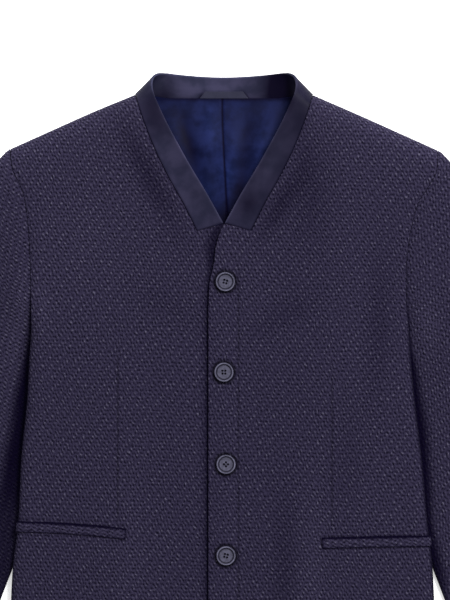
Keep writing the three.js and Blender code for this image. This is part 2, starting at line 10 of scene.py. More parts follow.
import bpy
import mathutils
import numpy as np
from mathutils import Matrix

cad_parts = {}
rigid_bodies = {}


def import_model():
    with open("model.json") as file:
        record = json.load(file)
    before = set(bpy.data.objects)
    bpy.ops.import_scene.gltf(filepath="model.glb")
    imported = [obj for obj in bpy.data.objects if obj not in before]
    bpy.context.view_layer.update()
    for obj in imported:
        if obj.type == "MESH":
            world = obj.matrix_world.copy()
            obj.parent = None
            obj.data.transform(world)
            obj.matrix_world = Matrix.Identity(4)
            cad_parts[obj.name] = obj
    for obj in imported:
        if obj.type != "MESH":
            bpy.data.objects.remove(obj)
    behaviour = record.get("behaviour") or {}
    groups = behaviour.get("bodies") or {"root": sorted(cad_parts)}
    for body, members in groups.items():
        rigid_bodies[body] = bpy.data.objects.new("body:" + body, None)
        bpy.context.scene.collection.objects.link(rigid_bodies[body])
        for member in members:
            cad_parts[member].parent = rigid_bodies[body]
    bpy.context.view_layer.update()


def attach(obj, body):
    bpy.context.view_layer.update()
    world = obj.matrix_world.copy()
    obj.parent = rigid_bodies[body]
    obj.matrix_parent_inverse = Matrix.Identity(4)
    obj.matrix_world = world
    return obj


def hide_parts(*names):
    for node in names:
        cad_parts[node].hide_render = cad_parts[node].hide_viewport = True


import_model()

# ---- sizes, in millimetres
HEM_Y = -372.5
BACK_NECK_Y = 346.5
NECK_POINT = (93.6, 350.0)
SHOULDER_TIP = (225.0, 291.0)
SHOULDER_ROLL = 18.0  # how far in from its outline the shoulder rolls over,
SHOULDER_MID = 17.0  # and the height of its seam
SIDE_ROLL = 12.0
SLEEVE_ROLL = 14.0
SEAM_GAP = 0.3  # between pieces that meet edge to edge
SEAM_LAP = 0.1  # of pieces between which the floor would show

FRONT_WALL = 2.2
BACK_WALL = 2.0
SLEEVE_WALL = 2.0
BAND_WALL = 2.4
LINING_WALL = 1.0
LABEL_WALL = 0.8
WELT_WALL = 1.3

HEM_CORNER = 32.0
CORNER_SHARE = 0.97  # of a quarter circle
WELT_HEIGHT = 11.8
WELT_END = 2.9  # as the front's u
WELT_SWELL, WELT_MOUTH_LIFT = 0.5, 0.25
BAND_CLEAR = 0.7  # from the back's edge to the band's seam
LABEL_CLEAR = 0.8  # over the band
LABEL_ENDS = ((25.8, 347.4), (20.1, 354.6))  # half width and level, at the bottom and the top
HOLE_AT, HOLE_RADIUS, HOLE_DEPTH = 1.5, 1.25, 1.7  # in a button, out from its middle to both sides
STRAND = 0.25  # radius

# Where along x or y something starts and is complete, with a smooth S between.
SIDE_CLOSES = (130, 94)
FALLS_AT = (110, 205)
LIFTS_AT = (148, 182)
ARMHOLE_SINKS = (284, 254)
PUSH_LEVELS, PUSH_SPREAD = (150, 300), (60, 150)
PUSH = {"left": 1.2, "right": 2.6}
# Steps of the fronts where they lap, each with the x where it starts and ends.
LAP_STEPS = {"left": ((1.0, 20, 48),), "right": ((-1.8, 20, 48), (-1.6, 8, 30))}
# Seams: how far the cloth sinks into them, and over what width.
SEAM_DEPTH, SEAM_WIDTH = 0.8, 2.2
ARMHOLE_DEPTH, ARMHOLE_WIDTH = 1.1, 3.0
# Sleeves: the puff at the armhole, and the widths over which it rises, cloth tucked under the body comes up,
# the head reaches its crest, the folds start and end, and the under layer's lift is gone.
PUFF, PUFF_WIDTH, TUCK_CLEAR, TUCK_WIDTH = 1.2, 14, 3, 42
HEAD_WIDTH, DRAPE_WIDTH, UNDER_WIDTH = 60, 25, 28
# Lining: how its top edge follows the neck, how loosely it hangs below it, and how its middle wanders.
LINING_SEAM_X, LINING_SEAM = 0.02, (0.9, 1.4)
NECK_ROWS, NECK_LAP, NECK_RISE = 1.5, 0.6, ((30, 58, 93.6), (0, 0.1, 3.5))
LINING_CLEAR, LINING_LOOSE, LINING_SINKS = 0.6, 2.3, 0.3
LINING_HANGS, LINING_HANG_WIDTH = 346.2, 22
LINING_SWELL, LINING_SWELLS = 7, (340, 290)
LINING_SWAY, LINING_SWAYS = (-2, 5.5), (346, 196)

# Painted shade and painted light, as tones: 1 is the cloth's own colour, less is painted shade and more is
# painted light.
DARKEST_PAINTED_SHADE, DARKEST_SHADE = 0.04, 0.02
NEAR_WIDTH = 2
LAP_CLEAR = 0.6
FOLD_SHADE, FOLD_SHADE_WIDTH = {"left": 0.85, "right": 0.35}, 1.9
FOLD_SHADE_TOP, FOLD_SHADE_FOOT = (118, 88), (-260, -180)
ROLL_LIGHT, ROLL_REACH = 0.42, 22
EDGE_LIGHT, EDGE_REACH = 0.5, 2.6
# The shade under a button's rim, in metres, and how far the cloths' maps lean, in degrees.
RING_RADIUS, RING_WIDTH, RING_DEPTH = 0.0112, 0.0018, 0.72
SLEEVE_LEAN, WELT_LEAN = {"left": -14, "right": 20}, 38
# Sizes that turn a surface's u or v into a distance where its dark seam line, painted shade and painted light
# are drawn.
LINING_HALF, BAND_WIDTH, BAND_ROW = 90, 22, 30


# ---- tables
def table(names, *rows):
    """Named columns, one row of numbers per level of the garment."""
    return dict(zip(names.split(), np.array(rows, float).T))


def patches(*rows):
    """Soft patches: middle, half length and half width, turn from upright in degrees, and height."""
    return table("x y length width turn height", *rows)


NECKLINE = table(
    "y seam",
    (350, 93.6), (326, 85.8), (297, 74.5), (268, 60.7), (242, 46), (223, 36.2), (207, 28.5),
)
FRONT_EDGE = table(
    "y edge facing",
    (215, 0.8, 28.5), (207, -3.6, 28.5), (190, -8.6, 20.5), (174, -10.6, 16.4), (148, -15.6, 15.3),
    (120, -16.5, 15.3), (HEM_Y, -16.5, 15.3),
)
BODY_EDGE = table(
    "y left right",
    (291, 225, 225), (271, 223.5, 222.5), (249, 212.6, 212.6), (237, 204.8, 209.4), (212, 197.4, 206),
    (188, 193.4, 204.6), (168, 191.6, 203.7), (134, 191.6, 203), (107, 194.4, 203.2), (75, 196.7, 205),
    (30, 200.8, 207.4), (-30, 208, 213.4), (-100, 214.4, 217), (-150, 220, 223), (-185, 222, 225),
    (-290, 227, 229), (HEM_Y, 230, 232),
)
BODY_HEIGHTS = table(
    "y crown fall lift",
    (372, 34, 2.5, 0), (290, 34, 2.5, 0), (170, 29.5, 3, 0), (140, 28.2, 3, 3), (107, 27.2, 3, 9.5),
    (30, 25.5, 2.5, 9.5), (-60, 24, 2.2, 9.5), (-115, 22.8, 2, 9.5), (-150, 21, 1.8, 6),
    (-190, 18.8, 1.5, 0), (-280, 16, 1.2, 0), (HEM_Y, 14, 1, 0),
)
# Rows of the body: level on the armhole or side, on a front's inner border and edge, and on the back's
# inner border, along the back neck and down the centre back seam.
STRAIGHT_ROWS = (-12, -56, -96, -130, -165, -205, -255, -300, -340.5, -357, -367, HEM_Y)
BODY_ROWS = table(
    "outer front edge back_x back_y",
    (291, 350, 350, 93.6, 350), (271.3, 330.3, 330.3, 58, 346.6), (252, 313, 313, 30, BACK_NECK_Y),
    (229, 290, 290, 0, BACK_NECK_Y), (205, 264, 264, 0, 300), (180, 235, 235, 0, 245),
    (155, 207, 215, 0, 195), (138, 190, 195, 0, 163), (121, 170, 174, 0, 135), (104, 146, 148, 0, 110),
    (86, 114, 114, 0, 86), (62, 75, 75, 0, 62), (28, 32, 32, 0, 28),
    *((y, y, y, 0, y) for y in STRAIGHT_ROWS),
)
# How many rows of faces lie between each of those rows and the next.
ROWS_PER_SPAN = (8, 6, 7, 7, 7, 7, 6, 6, 7, 8, 9, 13, 12, 13, 12, 10, 10, 12, 14, 12, 10, 6, 4, 3)
ROW_AT_V = 6
ROW_AT_SIDE_TOP = 5.7
SIDE_SEAM = table(
    "y x on_edge",
    (166, 176, 1), (150, 165, 0.42), (125, 150, 0.1), (95, 142, 0), (30, 138, 0), (-100, 138, 0),
    (HEM_Y, 146, 0),
)
SLEEVE_ROWS = table(
    "level under joined pressed out_x out_y crest",
    (291, -0.5, 1, 8, 233, 284.5, 34), (271.3, -0.1, 1, 8, 250.5, 265.5, 33),
    (252, 0, 1, 8, 268, 244, 31.5), (229, 0, 1, 8, 284, 220.5, 30), (205, 0, 1, 8, 297, 196.5, 28),
    (180, 0, 1, 8, 308, 170.5, 25.5), (155, 0, 0.96, 8, 316, 145, 22.5), (138, 4, 0.82, 8, 320.5, 126, 20),
    (121, 11, 0.55, 8, 325.5, 105, 17.5), (104, 15, 0.25, 8, 330.5, 84, 15.5),
    (86, 17, 0.06, 7.6, 336, 61.5, 13.5), (55, 18, 0, 7.6, 346, 20, 11.5), (8, 19.5, 0, 7.6, 358, -29, 9.5),
    (-55, 17.5, 0, 7.6, 372.5, -88, 8.4), (-107, 9, 0, 7.6, 385, -140, 8),
    (-151, -0.8, 0, 7.6, 394.5, -180, 7.9), (-215, -22, 0, 7.6, 406.5, -229, 7.9),
    (-285, -43, 0, 7.6, 417, -273, 7.9), (-350.5, -63, 0, 7.6, 425.4, -307, 7.9),
)
BAND_BACK = table(
    "row neck_x neck_y neck_z",
    (3, 0, 369.8, 3.5), (2, 28, 370.9, 4.2), (1, 50, 372.9, 6), (2 / 3, 62, 374.1, 10),
    (1 / 3, 70, 373.5, 17), (0, 75, 369.5, 25),
)
BAND_FRONT = table(
    "row neck_x neck_y rise",
    (1 / 3, 76.2, 361.5, -1.5), (2 / 3, 73.8, 351, 0.6), (1, 69, 339.5, 1.2), (2, 60.5, 321.5, 1.2),
    (3, 49, 299.8, 1.2), (4, 35.4, 275.5, 1.2), (5, 17.8, 246.2, 1.2), (6, 0.8, 215, 1.2),
)
# Where each welt starts, as x and y, and the level of its end.
POCKETS = {"left": (102.8, -115.2, -113.2), "right": (102.9, -105.6, -98.2)}

# Soft folds, placed one by one.
FRONT_FOLDS = patches(
    (-63, 246, 48, 13, -28, -1.3), (66, 244, 48, 13, 28, -1.3), (70, 120, 40, 18, -35, -1.2),
    (57, -150, 70, 13, 4, -1.1), (158, 105, 85, 16, 3, -1), (-96, -150, 80, 15, 0, 0.9),
)
SLEEVE_FOLDS = patches(
    (262, 120, 70, 14, -8, -0.8), (300, 20, 60, 14, -20, 0.8), (316, -95, 38, 12, 62, -1.2),
    (330, -132, 42, 14, 68, 0.9), (366, -235, 60, 16, -16, -0.7), (-258, 130, 70, 15, 10, -0.8),
    (-296, 30, 60, 15, 18, 0.8), (-312, -80, 40, 12, -60, -1.2), (-332, -120, 40, 14, -66, 0.9),
    (-372, -240, 60, 16, 14, -0.7),
)
# Painted shade and painted light on the wool: where it looks paler or darker than its folds alone make it.
WOOL_PAINTED_SHADING = patches(
    (-78, 262, 62, 12, -27, -0.5), (58, 233, 36, 10, 30, -0.5), (84, 285, 40, 12, 4, -0.22),
    (92, 240, 50, 20, 10, -0.26), (62, -150, 80, 13, 2, -0.25), (92, -160, 80, 14, 2, 0.16),
    (-66, -140, 60, 14, 0, 0.05), (-100, -160, 90, 14, 0, 0.14), (62, 118, 40, 12, 60, -0.2),
    (-60, 130, 40, 16, -60, -0.14), (162, 105, 80, 13, 2, -0.25), (130, -30, 60, 16, 2, -0.14),
    (-165, 190, 90, 60, 0, 0.12), (-190, 130, 26, 7, 0, 0.2), (214, 110, 28, 13, 0, 0.36),
    (-218, 98, 36, 12, 8, 0.26), (-212, 138, 22, 10, 0, 0.22), (0, -60, 150, 70, 0, -0.08),
    (8, -90, 260, 12, 0, 0.1), (75, 70, 110, 40, 0, -0.06), (-140, 205, 50, 40, 0, 0.05),
)
# Shade beside cloth that lies over: depth close in and depth farther out, which holds over a plateau and
# fades to nothing at a width.
CREVICE = {
    "left": table(
        "y near far plateau width",
        (190, 0, 0, 0, 4), (155, 0.3, 0, 0, 4), (124, 0.6, 0.1, 0, 4), (92, 0.7, 0.28, 0, 5),
        (61, 0.2, 0.92, 1.5, 11), (29, 0, 0.97, 2, 14), (-2, 0, 0.96, 3, 17), (-34, 0, 0.96, 2.5, 15),
        (-66, 0, 0.96, 1.5, 14), (-97, 0, 0.96, 1, 11), (-129, 0, 0.96, 2, 15), (-160, 0, 0.85, 5, 22),
        (-230, 0, 0.4, 5, 30), (HEM_Y, 0, 0, 5, 30),
    ),
    "right": table(
        "y near far plateau width",
        (170, 0, 0, 0, 4), (140, 0.6, 0, 0, 4), (124, 0.8, 0.1, 0, 5), (92, 0.5, 0.58, 1.5, 10),
        (61, 0, 0.96, 3, 15), (29, 0, 0.97, 7.5, 21), (-2, 0, 0.97, 7, 25), (-34, 0, 0.96, 11, 28),
        (-66, 0, 0.9, 14, 34), (-97, 0, 0.72, 22, 46), (-129, 0, 0.7, 22, 46), (-160, 0, 0.72, 20, 44),
        (-230, 0, 0.4, 10, 40), (HEM_Y, 0, 0, 5, 30),
    ),
}
LAP_SHADE = table(
    "y near far plateau width",
    (215, 0.1, 0.66, 3, 18), (192, 0.05, 0.7, 4, 18), (180, 0.05, 0.7, 4, 14), (166, 0.1, 0.6, 2.5, 9),
    (150, 0.5, 0.44, 0, 10), (HEM_Y, 0.6, 0.44, 0, 11),
)
# Painted shade and painted light on the band: dark corners in the neck, shade round the label and paler
# patches.
BAND_PAINTED_SHADING = patches(
    (-74, 329, 30, 13, -22, -0.8), (-66, 296, 10, 8, -30, 0.2), (-44, 275, 9, 9, 0, -0.16),
    (-30, 246, 12, 8, -30, -0.2), (-56, 262, 34, 6, -30, 0.12), (60, 290, 120, 36, 28, -0.52),
    (82, 326, 22, 10, 20, -0.25), (26, 236, 12, 9, 25, -0.45), (46, 270, 22, 5, 30, 0.14),
    (-20, 361, 14, 62, 0, 1.1), (58, 358, 22, 15, 0, -1.9), (75, 362, 12, 6, 0, 0.35),
    (-55, 290, 55, 9, -30, 0.2), (50, 280, 38, 8, 28, 0.22), (-60, 358, 14, 9, 0, -0.5),
    (-65, 352, 9, 12, 0, -0.6), (-24.5, 350.4, 6, 2, 31, -1.3), (23.2, 349.9, 6, 2, -35, -1.3),
)
LINING_ROWS = table(
    "y half",
    (346.9, 76), (338, 86), (322, 96), (290, 100), (255, 100), (220, 100), (185, 100),
)
# Painted shade and painted light on the lining: shade beside the bands, in the V and under the band's edge,
# and paler patches.
LINING_PAINTED_SHADING = patches(
    (-39, 301, 34, 8, -18, -0.85), (4, 266, 15, 9, 0, 1), (34, 284, 16, 9, 10, 0.35),
    (0, 325, 24, 26, 0, 0.2), (10, 318, 14, 6, 0, -0.3), (-52, 322, 20, 8, -10, 0.25),
    (-33, 259, 52, 4.5, -34.8, -0.7), (33, 259, 48, 4, 34.8, -0.45), (15, 251, 20, 7, 18, -0.8),
    (2, 222, 14, 9, 0, -0.85), (23, 305, 30, 8, 5, -0.45), (-57, 326, 16, 8, 0, -0.1),
    (-14, 318, 30, 9, -4, 0.55), (10, 300, 18, 6, 0, 0.4), (-17, 246, 26, 8, -10, 0.6),
    (-6, 262, 30, 16, 0, 0.2), (44, 311, 20, 8, 14, 0.35), (60, 330, 20, 10, 20, -0.3),
    (0, 347, 2.4, 100, 0, -0.85),
)
LINING_FOLDS = patches(
    (-36, 296, 34, 8, -12, -1.4), (-14, 312, 40, 9, 6, 1), (-52, 306, 36, 9, -16, 0.8),
    (22, 304, 40, 9, 5, -1), (38, 292, 36, 9, 14, 0.8), (17, 254, 30, 9, 12, -1.2),
    (52, 322, 28, 9, 18, 0.6), (-17, 246, 30, 10, -8, 0.8), (9, 290, 30, 7, 2, 0.6),
)
# Buttons: place and turn, and the section from the middle of the face out, round the rim and back below.
BUTTONS = table("x y turn", (1.3, 153.8, -17), (-0.2, 58.7, 0), (2.0, -38.2, 45), (2.0, -134.3, -15))
BUTTON_SECTION = np.array([
    (0, 0, 2.15), (5.5, 0, 2.15), (7.0, 0, 2.2), (7.55, 0, 1.75), (8.1, 0, 1.95), (8.7, 0, 3.2),
    (9.3, 0, 3.7), (9.8, 0, 3.2), (10.1, 0, 2.0), (9.8, 0, 0.8), (8.6, 0, 0.05), (0.02, 0, 0.0),
])
# Seams drawn on the fronts, in metres: x, low and high y, half width and depth.
FRONT_SEAMS = (
    (-0.1116, -0.097, 0.087, 0.0011, 0.4), (0.1137, -0.097, 0.06, 0.0011, 0.35),
    (0.0153, -0.37, 0.178, 0.001, 0.35),
)
# Lights over the middle of the floor, in metres: name, place, size and power.
LIGHTS = (
    ("key", (1.2, 1.9, 2.7), 1.0, 140), ("strip upper left", (-2.4, 1.8, 1.7), 0.5, 22),
    ("strip lower right", (2.2, -2.0, 1.7), 0.5, 22),
)

# ---- reading the tables
QUARTER = math.pi / 2


def mix(a, b, t):
    """a where t is 0 and b where it is 1, straight between."""
    return a + (b - a) * t


def ease(t):
    """0 below 0, 1 above 1 and a smooth S between."""
    t = np.clip(t, 0, 1)
    return t * t * (3 - 2 * t)


def between(at, start, end):
    """0 before the start and 1 past the end, whichever is lower, with a smooth S between."""
    return ease((at - start) / (end - start))


def bell(away, width):
    """1 at no distance, and less to both sides: the exponential of minus its square."""
    return np.exp(-((away / width) ** 2))


def smooth(rows, y, column):
    """A cubic through a table's column, at level y, that never overshoots: its slope at a row is the harmonic
    mean of the slopes beside it, or zero where they differ in sign."""
    levels, values = rows["y"][::-1], rows[column][::-1]
    step, rise = np.diff(levels), np.diff(values)
    slope = rise / step
    turns = slope[:-1] * slope[1:] <= 0
    inner = 2 * slope[:-1] * slope[1:] / np.where(turns, 1, slope[:-1] + slope[1:])
    bend = np.concatenate([slope[:1], np.where(turns, 0, inner), slope[-1:]])
    y = np.clip(y, levels[0], levels[-1])
    i = np.clip(np.searchsorted(levels, y, side="right") - 1, 0, len(step) - 1)
    t = (y - levels[i]) / step[i]
    leave = bend[i] * step[i] - rise[i]
    arrive = rise[i] - bend[i + 1] * step[i]
    return mix(values[i], values[i + 1], t) + t * (1 - t) * mix(leave, arrive, t)


def at_row(rows, v, column):
    """A column at a fractional row: straight between rows, and a quarter round over the first."""
    values = rows[column]
    i = np.clip(np.floor(v).astype(int), 0, len(values) - 2)
    t = np.where(i == 0, 1 - np.cos(np.clip(v, 0, 1) * QUARTER), np.clip(v - i, 0, 1))
    return mix(values[i], values[i + 1], t)


def own_x(side, x):
    """The garment's x as x from the centre towards one side, 'left' being +X, and back again."""
    return x if side == "left" else -x


def place(side, x, y, z):
    """Points with x measured from the centre towards their own side."""
    return np.stack(np.broadcast_arrays(own_x(side, x), y, z), axis=-1)


# ---- soft folds, painted shade and painted light
def folds(rows, x, y):
    """Sum of soft patches: each is its height times a bell across and along its own line."""
    total = np.zeros(np.broadcast(x, y).shape)
    for middle_x, middle_y, length, width, turn, height in zip(*rows.values()):
        c, s = math.cos(math.radians(turn)), math.sin(math.radians(turn))
        across = (x - middle_x) * c - (y - middle_y) * s
        along = (x - middle_x) * s + (y - middle_y) * c
        total += height * np.exp(-((across / width) ** 2) - (along / length) ** 2)
    return total


def tone_of(rows, points):
    """Painted shade and painted light on cloth: 1, plus soft patches from a table."""
    return np.maximum(1 + folds(rows, points[..., 0], points[..., 1]), DARKEST_PAINTED_SHADE)


def shade_beside(rows, away, y):
    """Shade beside cloth that lies over: 1, less the near depth as a narrow bell and the far depth, which
    eases off from the plateau to the width."""
    near, far, plateau, width = (smooth(rows, y, c) for c in ("near", "far", "plateau", "width"))
    lit = 1 - near * bell(away, NEAR_WIDTH) - far * (1 - between(away, plateau, width))
    return np.clip(lit, DARKEST_SHADE, 1)


def crevice(side, points):
    """Shade on a sleeve beside the body that lies over it."""
    x, y = own_x(side, points[..., 0]), points[..., 1]
    return shade_beside(CREVICE[side], np.maximum(x - smooth(BODY_EDGE, y, side), 0), y)


def lap_shade(side, points):
    """Shade on the right front beside the left front's edge, which lies over it."""
    x, y = points[..., 0], points[..., 1]
    away = smooth(FRONT_EDGE, y, "edge") - x
    below = (side == "right") & (away > -LAP_CLEAR)
    return np.where(below, shade_beside(LAP_SHADE, np.maximum(away, 0), y), 1)


def fold_shade(side, points):
    """Shade on the side fold's own edge beside the sleeve, which fades out at the armhole and the hem."""
    x, y = np.abs(points[..., 0]), points[..., 1]
    away = smooth(BODY_EDGE, y, side) - x
    beside = between(y, *FOLD_SHADE_TOP) * between(y, *FOLD_SHADE_FOOT)
    return 1 - FOLD_SHADE[side] * beside * bell(away, FOLD_SHADE_WIDTH)


SHOULDER_SLOPE = (NECK_POINT[1] - SHOULDER_TIP[1]) / (SHOULDER_TIP[0] - NECK_POINT[0])


def below_shoulder(x, y):
    """Distance below the shoulder's outline."""
    return (NECK_POINT[1] - SHOULDER_SLOPE * (x - NECK_POINT[0]) - y) / math.hypot(1, SHOULDER_SLOPE)


def shoulder_light(points):
    """Light caught by the roll along the shoulders."""
    away = np.maximum(below_shoulder(np.abs(points[..., 0]), points[..., 1]), 0)
    return 1 + ROLL_LIGHT * np.exp(-away / ROLL_REACH) + EDGE_LIGHT * bell(away, EDGE_REACH)


# ---- heights of the body's two layers
def shoulder_round(x, y):
    """0 on the shoulder's outline and 1 a roll's width below it, as a quarter circle rises."""
    return np.sqrt(1 - (1 - np.clip((below_shoulder(x, y) - SEAM_GAP) / SHOULDER_ROLL, 0, 1)) ** 2)


def top_height(side, x, y):
    """Face of a front: the crown, less its fall to the side, with the lap's step and the soft folds."""
    fall = smooth(BODY_HEIGHTS, y, "fall") * between(x, *FALLS_AT)
    lap = sum(step * (1 - between(x, start, end)) for step, start, end in LAP_STEPS[side])
    flat = smooth(BODY_HEIGHTS, y, "crown") - fall + lap + folds(FRONT_FOLDS, own_x(side, x), y)
    return mix(SHOULDER_MID - SEAM_LAP, flat, shoulder_round(x, y))


def low_height(x, y):
    """Underside of the back and side panel, lifted where the sleeve lies below it."""
    lift = smooth(BODY_HEIGHTS, y, "lift") * between(x, *LIFTS_AT)
    return mix(SHOULDER_MID + SEAM_LAP, lift, shoulder_round(x, y))


def side_closed(y):
    """0 along the armhole and 1 where the side fold closes the body."""
    return between(y, *SIDE_CLOSES)


def seam_dip(away, depth=SEAM_DEPTH, width=SEAM_WIDTH):
    """How far cloth sinks into a seam that is this far away."""
    return depth * bell(away, width)


def armhole_dip(share, y, away):
    """How far cloth sinks into the armhole's seam, which starts a little below the shoulder's end."""
    return share * between(y, *ARMHOLE_SINKS) * seam_dip(away, ARMHOLE_DEPTH, ARMHOLE_WIDTH)


# ---- fronts, sides and back
def corner_cut(y):
    """How far the rounded corner at the hem cuts a front's edge back: nearly a quarter circle."""
    down = np.clip((HEM_Y + HEM_CORNER - y) / HEM_CORNER, 0, 1)
    return HEM_CORNER * (1 - np.sqrt(1 - (CORNER_SHARE * down) ** 2))


def front_surface(side, u, v):
    """Front: u runs 0..1 over the edge's facing, 1..2 on to the side and 2..3 round the side fold, a quarter
    ellipse; v is the row. It sinks a little into the neckline's and armhole's seams."""
    facing = (u < 1) & (v > ROW_AT_V - 0.01)
    v = np.where(facing, np.maximum(v, ROW_AT_V), v)
    inner_y = at_row(BODY_ROWS, v, "front")
    border = np.where(v < ROW_AT_V, smooth(NECKLINE, inner_y, "seam"), smooth(FRONT_EDGE, inner_y, "facing"))
    inner_x = SEAM_GAP / 2 + corner_cut(inner_y) + border
    edge_y = at_row(BODY_ROWS, v, "edge")
    edge_x = smooth(FRONT_EDGE, edge_y, "edge") + corner_cut(edge_y)
    outer_y = at_row(BODY_ROWS, v, "outer")
    closed = side_closed(outer_y)
    outer_x = smooth(BODY_EDGE, outer_y, side) - (SEAM_GAP / 2) * (1 - closed)
    length = np.hypot(outer_x - inner_x, outer_y - inner_y)
    reach = 1 - SIDE_ROLL / length
    s = np.clip(u - 2, 0, 1)
    t = np.where(u < 2, (u - 1) * reach, mix(reach, 1, mix(s, np.sin(s * QUARTER), closed)))
    x = np.where(facing, mix(edge_x, inner_x, u), mix(inner_x, outer_x, t))
    y = np.where(facing, mix(edge_y, inner_y, u), mix(inner_y, outer_y, t))
    face = top_height(side, x, y)
    fold = (face + low_height(x, y)) / 2 - SEAM_LAP
    z = mix(face, fold, np.where(facing, 0, closed) * (1 - np.cos(s * QUARTER)))
    z = z - np.where(facing, 0, armhole_dip(1 - closed, outer_y, (1 - t) * length))
    z = z - np.where(v < ROW_AT_V, seam_dip(np.maximum(t, 0) * length), 0)
    return place(side, x, y, z)


def side_seam_x(side, y):
    """Where the back meets the side panel: on the armhole's edge at the top, and under the body below it."""
    return mix(smooth(SIDE_SEAM, y, "x"), smooth(BODY_EDGE, y, side), smooth(SIDE_SEAM, y, "on_edge"))


def side_surface(side, u, v):
    """Side panel: u runs 0..1 from the back's seam and 1..2 round the lower half of the side fold."""
    y = at_row(BODY_ROWS, v, "outer")
    closed = side_closed(y)
    seam = side_seam_x(side, y) - SEAM_LAP
    edge = smooth(BODY_EDGE, y, side) - (SEAM_GAP / 2) * (1 - closed)
    roll = np.minimum(SIDE_ROLL, (edge - seam) / 2)
    s = np.clip(u - 1, 0, 1)
    rounded = edge - roll + roll * mix(s, np.sin(s * QUARTER), closed)
    x = np.where(u < 1, mix(seam, edge - roll, u), rounded)
    low = low_height(x, y)
    fold = (top_height(side, x, y) + low) / 2 + SEAM_LAP
    return place(side, x, y, mix(low, fold, closed * (1 - np.cos(s * QUARTER))))


def back_surface(side, u, v):
    """Back half: u runs 0..1 from the neck or centre seam out to the armhole or the side panel."""
    inner_x = at_row(BODY_ROWS, v, "back_x")
    inner_x = inner_x + np.where(inner_x < 0.01, -SEAM_LAP, SEAM_GAP / 2)
    inner_y = np.minimum(at_row(BODY_ROWS, v, "back_y"), NECK_POINT[1] - SEAM_GAP)
    outer_y = at_row(BODY_ROWS, v, "outer")
    outer_x = np.where(v >= ROW_AT_SIDE_TOP - 0.01, side_seam_x(side, outer_y) + SEAM_LAP,
                       smooth(BODY_EDGE, outer_y, side) - SEAM_GAP / 2)
    x = mix(inner_x, outer_x, u)
    y = mix(inner_y, outer_y, u)
    return place(side, x, y, low_height(x, y))


# ---- sleeves
def sleeve_surface(side, layer, u, v):
    """One layer of a sleeve: u runs 0..1 round the inner fold, 1..2 across and 2..3 round the outer fold,
    both quarter ellipses; v is the row. At the armhole it starts at the body's height."""
    level, under, joined, pressed, out_x, out_y, crest = (at_row(SLEEVE_ROWS, v, c) for c in SLEEVE_ROWS)
    arm_x = smooth(BODY_EDGE, level, side)
    inner_x = arm_x - under + SEAM_GAP / 2
    width = np.hypot(out_x - inner_x, out_y - level)
    inner_roll = np.minimum(pressed * 0.6, width * 0.3)
    outer_roll = np.minimum(SLEEVE_ROLL, width * 0.5)
    round_inner = inner_roll * mix(1 - np.cos(u * QUARTER), u, joined)
    across = mix(inner_roll, width - outer_roll, u - 1)
    round_outer = width - outer_roll * (1 - np.sin((u - 2) * QUARTER))
    away = np.where(u < 1, round_inner, np.where(u < 2, across, round_outer))
    x = mix(inner_x, out_x, away / width)
    y = mix(level, out_y, away / width)
    lap = SEAM_LAP if layer == "top" else -SEAM_LAP
    if layer == "top":
        arm_top = top_height(side, arm_x, level)
        puff = PUFF * ease(away / PUFF_WIDTH)
        tuck = np.maximum(0, under) + TUCK_CLEAR
        tucked = mix(pressed, crest, ease((away - tuck) / TUCK_WIDTH))
        head = arm_top + puff + (crest - arm_top - puff) * ease(away / HEAD_WIDTH)
        drape = folds(SLEEVE_FOLDS, own_x(side, x), y)
        drape = drape * ease(away / DRAPE_WIDTH) * ease((width - away) / DRAPE_WIDTH)
        head = head + drape - armhole_dip(joined, level, away)
        tucked = tucked + drape
    else:
        tucked = np.zeros_like(away)
        head = low_height(arm_x, level) * (1 - ease(away / UNDER_WIDTH))
    turned_in = 1 - np.sin(np.minimum(1, u) * QUARTER)
    flat = mix(mix(tucked, pressed / 2 - lap, turned_in), head, joined)
    z = mix(flat, crest / 2 - lap, 1 - np.cos(np.clip(u - 2, 0, 1) * QUARTER))
    return place(side, x, y, z)


# ---- neckband, label, lining and welts
def band_sections(side):
    """Points of the band's seam and of its free edge, from the centre back to the V."""
    x = at_row(BODY_ROWS, BAND_BACK["row"], "back_x")
    y = at_row(BODY_ROWS, BAND_BACK["row"], "back_y")
    back_seam = place(side, x, y + BAND_CLEAR, low_height(x, y))
    back_edge = place(side, BAND_BACK["neck_x"], BAND_BACK["neck_y"], BAND_BACK["neck_z"])
    level = at_row(BODY_ROWS, BAND_FRONT["row"], "front")
    x = smooth(NECKLINE, level, "seam") - SEAM_GAP / 2
    at_end = np.where(BAND_FRONT["row"] == ROW_AT_V, SEAM_GAP, 0)
    front_seam = place(side, x, level + at_end, top_height(side, x, level))
    rise = top_height(side, BAND_FRONT["neck_x"], level) + BAND_FRONT["rise"]
    front_edge = place(side, BAND_FRONT["neck_x"], BAND_FRONT["neck_y"] + at_end, rise)
    return np.concatenate([back_seam, front_seam]), np.concatenate([back_edge, front_edge])


def spline(points, t):
    """Catmull-Rom curve through points, each span timed by the square root of its length; t is 0..1."""
    p = np.concatenate([[2 * points[0] - points[1]], points, [2 * points[-1] - points[-2]]])
    time = np.sqrt(np.linalg.norm(np.diff(p, axis=0), axis=1))[:, None]
    at = np.clip(t, 0, 1) * (len(points) - 1)
    i = np.minimum(np.floor(at).astype(int), len(points) - 2)
    w = (at - i)[..., None]
    a, b, c, d = p[i], p[i + 1], p[i + 2], p[i + 3]
    before, here, after = time[i], time[i + 1], time[i + 2]
    leave = ((b - a) / before - (c - a) / (before + here) + (c - b) / here) * here
    arrive = ((c - b) / here - (d - b) / (here + after) + (d - c) / after) * here
    cubic = 2 * b - 2 * c + leave + arrive
    square = 3 * c - 3 * b - 2 * leave - arrive
    return b + leave * w + square * w**2 + cubic * w**3


BAND_LAST = len(BAND_BACK["row"]) + len(BAND_FRONT["row"]) - 1


